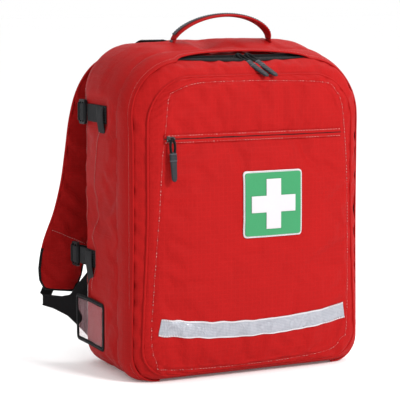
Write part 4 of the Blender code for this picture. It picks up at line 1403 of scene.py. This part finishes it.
STRAP_WIDTH = 0.072
STRAP_THICKNESS = 0.013
CROSS_SEAM = 0.8  # where the seam across it is, as a share of its length
LINING_START = 22  # the first of its points below the tight bend over the strap's yoke
STRAP_ROUTE = [  # centre line of the left strap, from the back panel to the lower end
    (-0.0860, 0.1045, 0.436), (-0.0870, 0.1100, 0.450), (-0.0930, 0.1220, 0.460), (-0.1060, 0.1350, 0.459),
    (-0.1260, 0.1470, 0.443), (-0.1430, 0.1560, 0.413), (-0.1520, 0.1630, 0.372), (-0.1570, 0.1690, 0.320),
    (-0.1640, 0.1720, 0.268), (-0.1780, 0.1710, 0.216), (-0.1970, 0.1670, 0.171), (-0.2080, 0.1600, 0.134),
    (-0.2120, 0.1555, 0.106),
]
ADJUSTING_ROUTE = [  # the left one, from the wing's tip
    (-0.234, 0.161, 0.096), (-0.224, 0.1685, 0.109), (-0.211, 0.175, 0.122), (-0.203, 0.1786, 0.135),
]
YOKE_ROUTE = [(0.0985, 0.462), (0.0985, 0.481), (0.0915, 0.4935), (0.07, 0.5012), (0.056, 0.5014)]  # y, z
WING_LOWER = [(0.0, 0.04), (0.012, 0.051), (0.035, 0.07), (0.06, 0.08)]  # along it from its root, height
WING_UPPER = [(0.0, 0.14), (0.015, 0.122), (0.03, 0.102), (0.045, 0.0985)]


def mirrored(side, point):
    """A point of the left side or its mirror image on the right."""
    return Vector((-SIDES[side] * point[0], point[1], point[2]))


def strap_frames(side):
    """(point, width direction, thickness direction, share of the width) along a shoulder strap."""
    fine = 8
    route = smooth_route([mirrored(side, p) for p in STRAP_ROUTE], fine)
    last = len(route) - 1
    shares = [(0, 0.36), (fine // 2, 0.56), (fine, 0.78), (3 * fine // 2, 0.94), (2 * fine, 1.0),
              (last + 1 - 2 * fine, 1.0), (last - fine, 0.97), (last - fine // 2, 0.88), (last, 0.64)]
    frames = []
    for i, point in enumerate(route):
        along = (route[min(i + 1, last)] - route[max(i - 1, 0)]).normalized()
        wide = (RIGHT - RIGHT.dot(along) * along).normalized()
        frames.append((point, wide, along.cross(wide), interpolated(shares, i)[0]))
    return frames


def shoulder_pad(side, frames):
    """The padding, gathered along its upper part, with a seam across it."""
    half, thick = STRAP_WIDTH / 2, STRAP_THICKNESS / 2 - 0.001
    columns = 16
    rows = []
    for i, (point, wide, out, share) in enumerate(frames):
        upper = []
        for s in (math.sin(math.pi * (k / columns - 0.5)) for k in range(columns + 1)):
            swell = (1 - abs(s) ** 2.6) ** 0.5
            gather = 0.0006 * math.sin(i * 1.25 + 2.2 * s) * swell * (1 if i < len(frames) * 0.62 else 0.3)
            upper.append((s, thick * (0.22 + 0.78 * swell) + gather))
        lower = [(s, -thick * (0.22 + 0.55 * (1 - abs(s) ** 3))) for s, _ in reversed(upper)]
        rows.append([point + wide * (half * share * s) + out * h for s, h in upper + lower])
    pad = solid(f"shoulder_pad_{side}", rows, "red_padding", f"strap_{side}", f"shoulder_strap_{side}")
    around, count = len(rows[0]), len(rows)
    sewn_columns = (0, columns, columns + 1, around - 1)
    sewn_rows = (0, 1, count - 2, count - 1, int(count * CROSS_SEAM))
    sewn = [r * around + c for r in range(count) for c in range(around)
            if c in sewn_columns or r in sewn_rows]
    settle(pad, sewn, 0.045, 2.0, 0.0032)
    smoothed(pad)
    return pad


def strap_bindings(side, frames):
    """Tape round the strap's edges, red at first and black round its lower end."""
    body, half = f"strap_{side}", STRAP_WIDTH / 2
    split = int(len(frames) * 0.86)
    for edge, s in (("outer", -1.005), ("inner", 1.005)):
        line = [point + wide * (half * share * s) for point, wide, _, share in frames]
        tube(f"strap_binding_{edge}_{side}", line[4:split], 0.0021, "red_fabric", body)
        tube(f"strap_end_binding_{edge}_{side}", line[split - 1:], 0.0023, "black_webbing", body)
    last, wide, _, share = frames[-1]
    tip = [last - wide * (half * share), last + wide * (half * share)]
    tube(f"strap_tip_binding_{side}", tip, 0.0024, "black_webbing", body)


def shoulder_strap(side):
    """A padded strap with bound edges, a seam across it and a mesh lining."""
    frames = strap_frames(side)
    body, half = f"strap_{side}", STRAP_WIDTH / 2
    pad = shoulder_pad(side, frames)
    strap_bindings(side, frames)
    point, wide, out, share = frames[int(len(frames) * CROSS_SEAM)]
    seam = [point + wide * (half * share * s / 10) + out * 0.008 for s in range(-9, 10)]
    stitches(f"strap_cross_seam_{side}", seam, tree_of(pad), body, "thread", 0.004, 0.0026, 0.0007)
    depth = STRAP_THICKNESS / 2 + 0.0013
    rows = []
    for point, wide, out, share in frames[LINING_START:-2]:
        rows.append([point + wide * (0.72 * half * share * s / 6) - out * (depth - 0.0008 * (s / 6) ** 2)
                     for s in range(-6, 7)])
    lining = surface(f"strap_lining_mesh_{side}", rows, "black_mesh", body, f"strap_lining_{side}")
    smoothed(thicken(lining, 0.0014))


def strap_fittings(side):
    """The loop that holds the strap's buckle, the adjusting webbing and the yoke over the top."""
    pivot = mirrored("left", joint_pivot("strap_buckle_left_swing"))
    loop = [(0.0175, -0.0066)] + arc((0, 0), 0.0041, 260, 10, 12)
    loop = [mirrored(side, pivot + Vector((0, y, z))) for z, y in loop]
    band(f"buckle_loop_{side}", loop, 0.025, 0.0012, RIGHT, "black_webbing", f"strap_{side}",
         f"strap_lock_loop_{side}")
    run = [mirrored(side, p) for p in ADJUSTING_ROUTE]
    band(f"adjusting_strap_{side}", smooth_route(run, 6), 0.0195, 0.0015, Vector((1, 0, 0.5 * SIDES[side])),
         "black_webbing", f"strap_{side}", f"adjust_webbing_{side}")
    low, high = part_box(f"strap_yoke_{side}")
    middle = (low.x + high.x) / 2
    yoke = band(f"yoke_webbing_{side}", smooth_route([(middle, y, z) for y, z in YOKE_ROUTE], 6), 0.0415,
                0.0018, RIGHT, "grey_webbing", "bag", f"strap_yoke_{side}")
    edge = [Vector((middle + x, y, 0.502))
            for x, y in ((-0.017, 0.084), (-0.017, 0.06), (0.017, 0.06), (0.017, 0.084))]
    stitches(f"yoke_stitches_{side}", edge, tree_of(yoke), "bag", "dark_thread", 0.0042, 0.0027, 0.0008)


def strap_wing(side):
    """The upright triangle of coated fabric between the back's lower edge and the adjusting webbing."""
    root = mirrored(side, (-BACK_SEAM[0], BACK_SEAM[1], 0))
    tip = mirrored(side, (-0.24, 0.1555, 0))
    along = (tip - root).normalized()
    out = along.cross(UP)
    reach = (tip - root).length
    lower, upper = [*WING_LOWER, (reach, 0.084)], [*WING_UPPER, (reach, 0.0995)]
    rows = []
    for t in spaced(0.0, reach, 0.0028):
        low, high = interpolated(lower, t)[0], interpolated(upper, t)[0]
        row = []
        for share in (k / 14 for k in range(15)):
            z = low + (high - low) * share
            wave = 0.001 * math.sin(math.pi * share) * noise.noise(Vector((t * 40, z * 40, 1.0)))
            row.append(root + along * t + UP * z + out * wave)
        rows.append(row)
    wing = surface(f"wing_fabric_{side}", rows, "coated_black", "bag", f"strap_wing_{side}")
    smoothed(thicken(wing, 0.0016))
    for name, k in (("lower", 0), ("upper", -1)):
        tube(f"wing_hem_{name}_{side}", [row[k] for row in rows], 0.0012, "black_webbing", "bag")


# Inside ----------------------------------------


PACKET_FINISHES = ("gauze", "green_pack", "blue_pack", "gauze")


def packet(name, centre, size, finish):
    """A sealed packet or roll: a soft box with crowned faces."""
    rings = []
    for v in (r / 4 - 1 for r in range(9)):
        grow = (1 - abs(v) ** 5) ** 0.2 / 2
        middle = Vector(centre) + ACROSS * (v * size[1] / 2)
        rings.append(squarish_ring(middle, RIGHT * (size[0] * grow), UP * (size[2] * grow), 5, 24))
    smoothed(solid(name, rings, finish, "bag"))


def pouch_shell(name, middle, half, pane):
    """A pouch's fabric, from its back round to its front, and into the recess behind its window."""
    front, back = middle.y - half.y, middle.y + half.y

    def ring(y, grow, width=half.x, height=half.z, corner=0.022, sag=0.0):
        loop = rounded_rectangle(width - grow, height - grow, max(0.004, corner - grow), 8,
                                 (middle.x, middle.z))
        return [Vector((x, y + sag * noise.noise(Vector((x * 30, y, z * 30))), z)) for x, z in loop]

    rows = [ring(back - 0.001, 0.004), ring(back - 0.006, 0.001, sag=0.001), ring(0.06, 0.0008, sag=0.002),
            ring(0.035, 0.0008, sag=0.002), ring(front + 0.005, 0.0012), ring(front + 0.0014, 0.005)]
    rows += [ring(front + depth, 0.0, pane.x + wider, pane.z + wider, corner) for depth, wider, corner in (
        (0.0008, 0.004, 0.014), (0.0008, -0.003, 0.01), (0.0135, -0.004, 0.01))]
    shell = smoothed(solid(name + "_fabric", rows, "pouch_fabric", "bag", name))


def pouch(row, side):
    """A fabric pouch with packets behind its clear, zipped window."""
    name = f"pouch_{row}_{side}"
    low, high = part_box(name)
    pane_low, pane_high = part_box(name + "_window")
    middle, pane = (low + high) / 2, (pane_high - pane_low) / 2
    pouch_shell(name, middle, (high - low) / 2, pane)
    shares = [i / 12 - 1 for i in range(25)]
    grid = []
    for v in shares:
        line = []
        for u in shares:
            slack = 0.5 + 0.5 * noise.noise(Vector((u * 2, v * 3, len(row))))
            y = pane_high.y - 0.0004 - 0.0016 * (1 - u ** 4) * (1 - v ** 4) * slack
            line.append(Vector((middle.x + u * pane.x, y, middle.z + v * pane.z)))
        grid.append(line)
    smoothed(thicken(surface(name + "_pane", grid, "window_vinyl", "bag", name + "_window"), 0.0004))
    loop = rounded_rectangle(pane.x + 0.001, pane.z + 0.001, 0.008, 6, (middle.x, middle.z))
    loop = [Vector((x, low.y - 0.0004, z)) for x, z in loop]
    tube(name + "_zip", loop, 0.0013, "black_webbing", "bag", closed=True)
    count = 3 if row == "lower" else 4
    step = 2 * (pane.z - 0.008) / count
    for k in range(count):
        odd = k % 2
        centre = (middle.x + (0.006 if odd else -0.006), low.y + 0.0078,
                  middle.z - pane.z + 0.008 + step * (k + 0.5))
        packet(f"{name}_packet_{k + 1}", centre, (2 * pane.x - 0.026 - 0.008 * odd, 0.01, step - 0.004),
               PACKET_FINISHES[(k + len(side)) % 4])


def inner_shelf():
    """The stiffened shelf between the pouches, covered in fabric and bound along its front edge."""
    low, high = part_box("inner_shelf")
    middle_z = low.z + 0.0015
    rows = []
    for y in spaced(low.y + 0.001, high.y, 0.006):
        rows.append([Vector((x, y, middle_z + 0.0006 * noise.noise(Vector((x * 20, y * 20, 0)))))
                     for x in spaced(low.x, high.x, 0.008)])
    smoothed(thicken(surface("shelf_fabric", rows, "pouch_fabric", "bag", "inner_shelf"), 0.002))
    edge = [Vector((x, low.y + 0.001, middle_z)) for x in spaced(low.x, high.x, 0.02)]
    tube("shelf_binding", edge, 0.0016, "black_webbing", "bag")


# Studio ----------------------------------------


def area_light(name, place, aim, size, power):
    light = bpy.data.lights.new(name, "AREA")
    light.shape = "DISK"
    light.size = size
    light.energy = power
    obj = bpy.data.objects.new(name, light)
    scene.collection.objects.link(obj)
    obj.location = place
    obj.rotation_euler = (Vector(place) - Vector(aim)).to_track_quat("Z", "Y").to_euler()


def add_studio():
    shader = Shader("pale_floor")
    mottle = shader.noise(0.4, 2)
    shader.set(Base_Color=shader.mix(mottle, (0.9, 0.9, 0.9), (0.92, 0.92, 0.92)), Roughness=0.9,
               Specular_IOR_Level=0.05, Emission_Color=(1.0, 1.0, 1.0), Emission_Strength=0.09)
    mesh = bpy.data.meshes.new("floor")
    mesh.from_pydata([(-30, -30, 0), (30, -30, 0), (30, 30, 0), (-30, 30, 0)], [], [(0, 1, 2, 3)])
    mesh.materials.append(shader.material)
    floor = bpy.data.objects.new("floor", mesh)
    scene.collection.objects.link(floor)
    lower_with_the_lid(floor)

    world = bpy.data.worlds.new("studio")
    world.use_nodes = True
    world.node_tree.nodes["Background"].inputs["Color"].default_value = (1, 1, 1, 1)
    world.node_tree.nodes["Background"].inputs["Strength"].default_value = 1.0
    scene.world = world
    area_light("key", (0.9, -2.5, 1.9), (0, 0, 0.25), 0.8, 88)
    area_light("top", (1.1, 0.4, 2.2), (0, 0, 0.3), 0.9, 22)
    scene.view_settings.view_transform = "Standard"


def lower_with_the_lid(floor):
    """The open lid hangs below the bag's base, so the floor is let down as far as it reaches."""
    follow = floor.constraints.new("TRANSFORM")
    follow.target = frame["bodies"]["lid"]
    follow.map_from = "ROTATION"
    follow.from_min_x_rot = 0.0
    follow.from_max_x_rot = math.radians(170)
    follow.map_to = "LOCATION"
    follow.map_to_z_from = "X"
    follow.to_min_z = 0.0
    follow.to_max_z = -0.485


def finish_cad_parts():
    """Better edges and materials on the CAD parts that show."""
    for node in sorted(frame["nodes"]):
        obj = frame["nodes"][node]
        if node.startswith(("ladder_lock", "strap_lock_")) and not node.startswith("strap_lock_loop"):
            rounded(obj, 0.001, 3)
            show_as(obj, "buckle_plastic")
        elif node == "frame_sheet":
            show_as(obj, "stiffener")


def show_as(obj, finish):
    obj.data.materials.clear()
    obj.data.materials.append(FINISHES[finish])


def build():
    skin = bag_skin()
    back_fabric()
    storm_flap()
    main_zip()
    hinge_fabric()
    build_front()
    sliders_and_pullers()
    skin_tree = tree_of(skin)
    top_handle(skin_tree)
    back_pads()
    back_edge(skin_tree)
    card_pocket()
    inner_shelf()
    for side in SIDES:
        shoulder_strap(side)
        strap_fittings(side)
        strap_wing(side)
        for height in COMPRESSION_FRONTS:
            compression_strap(side, height)
            loop_over_bar(side, height)
        for row in ("lower", "upper"):
            pouch(row, side)
    finish_cad_parts()


add_camera()
build()
add_studio()
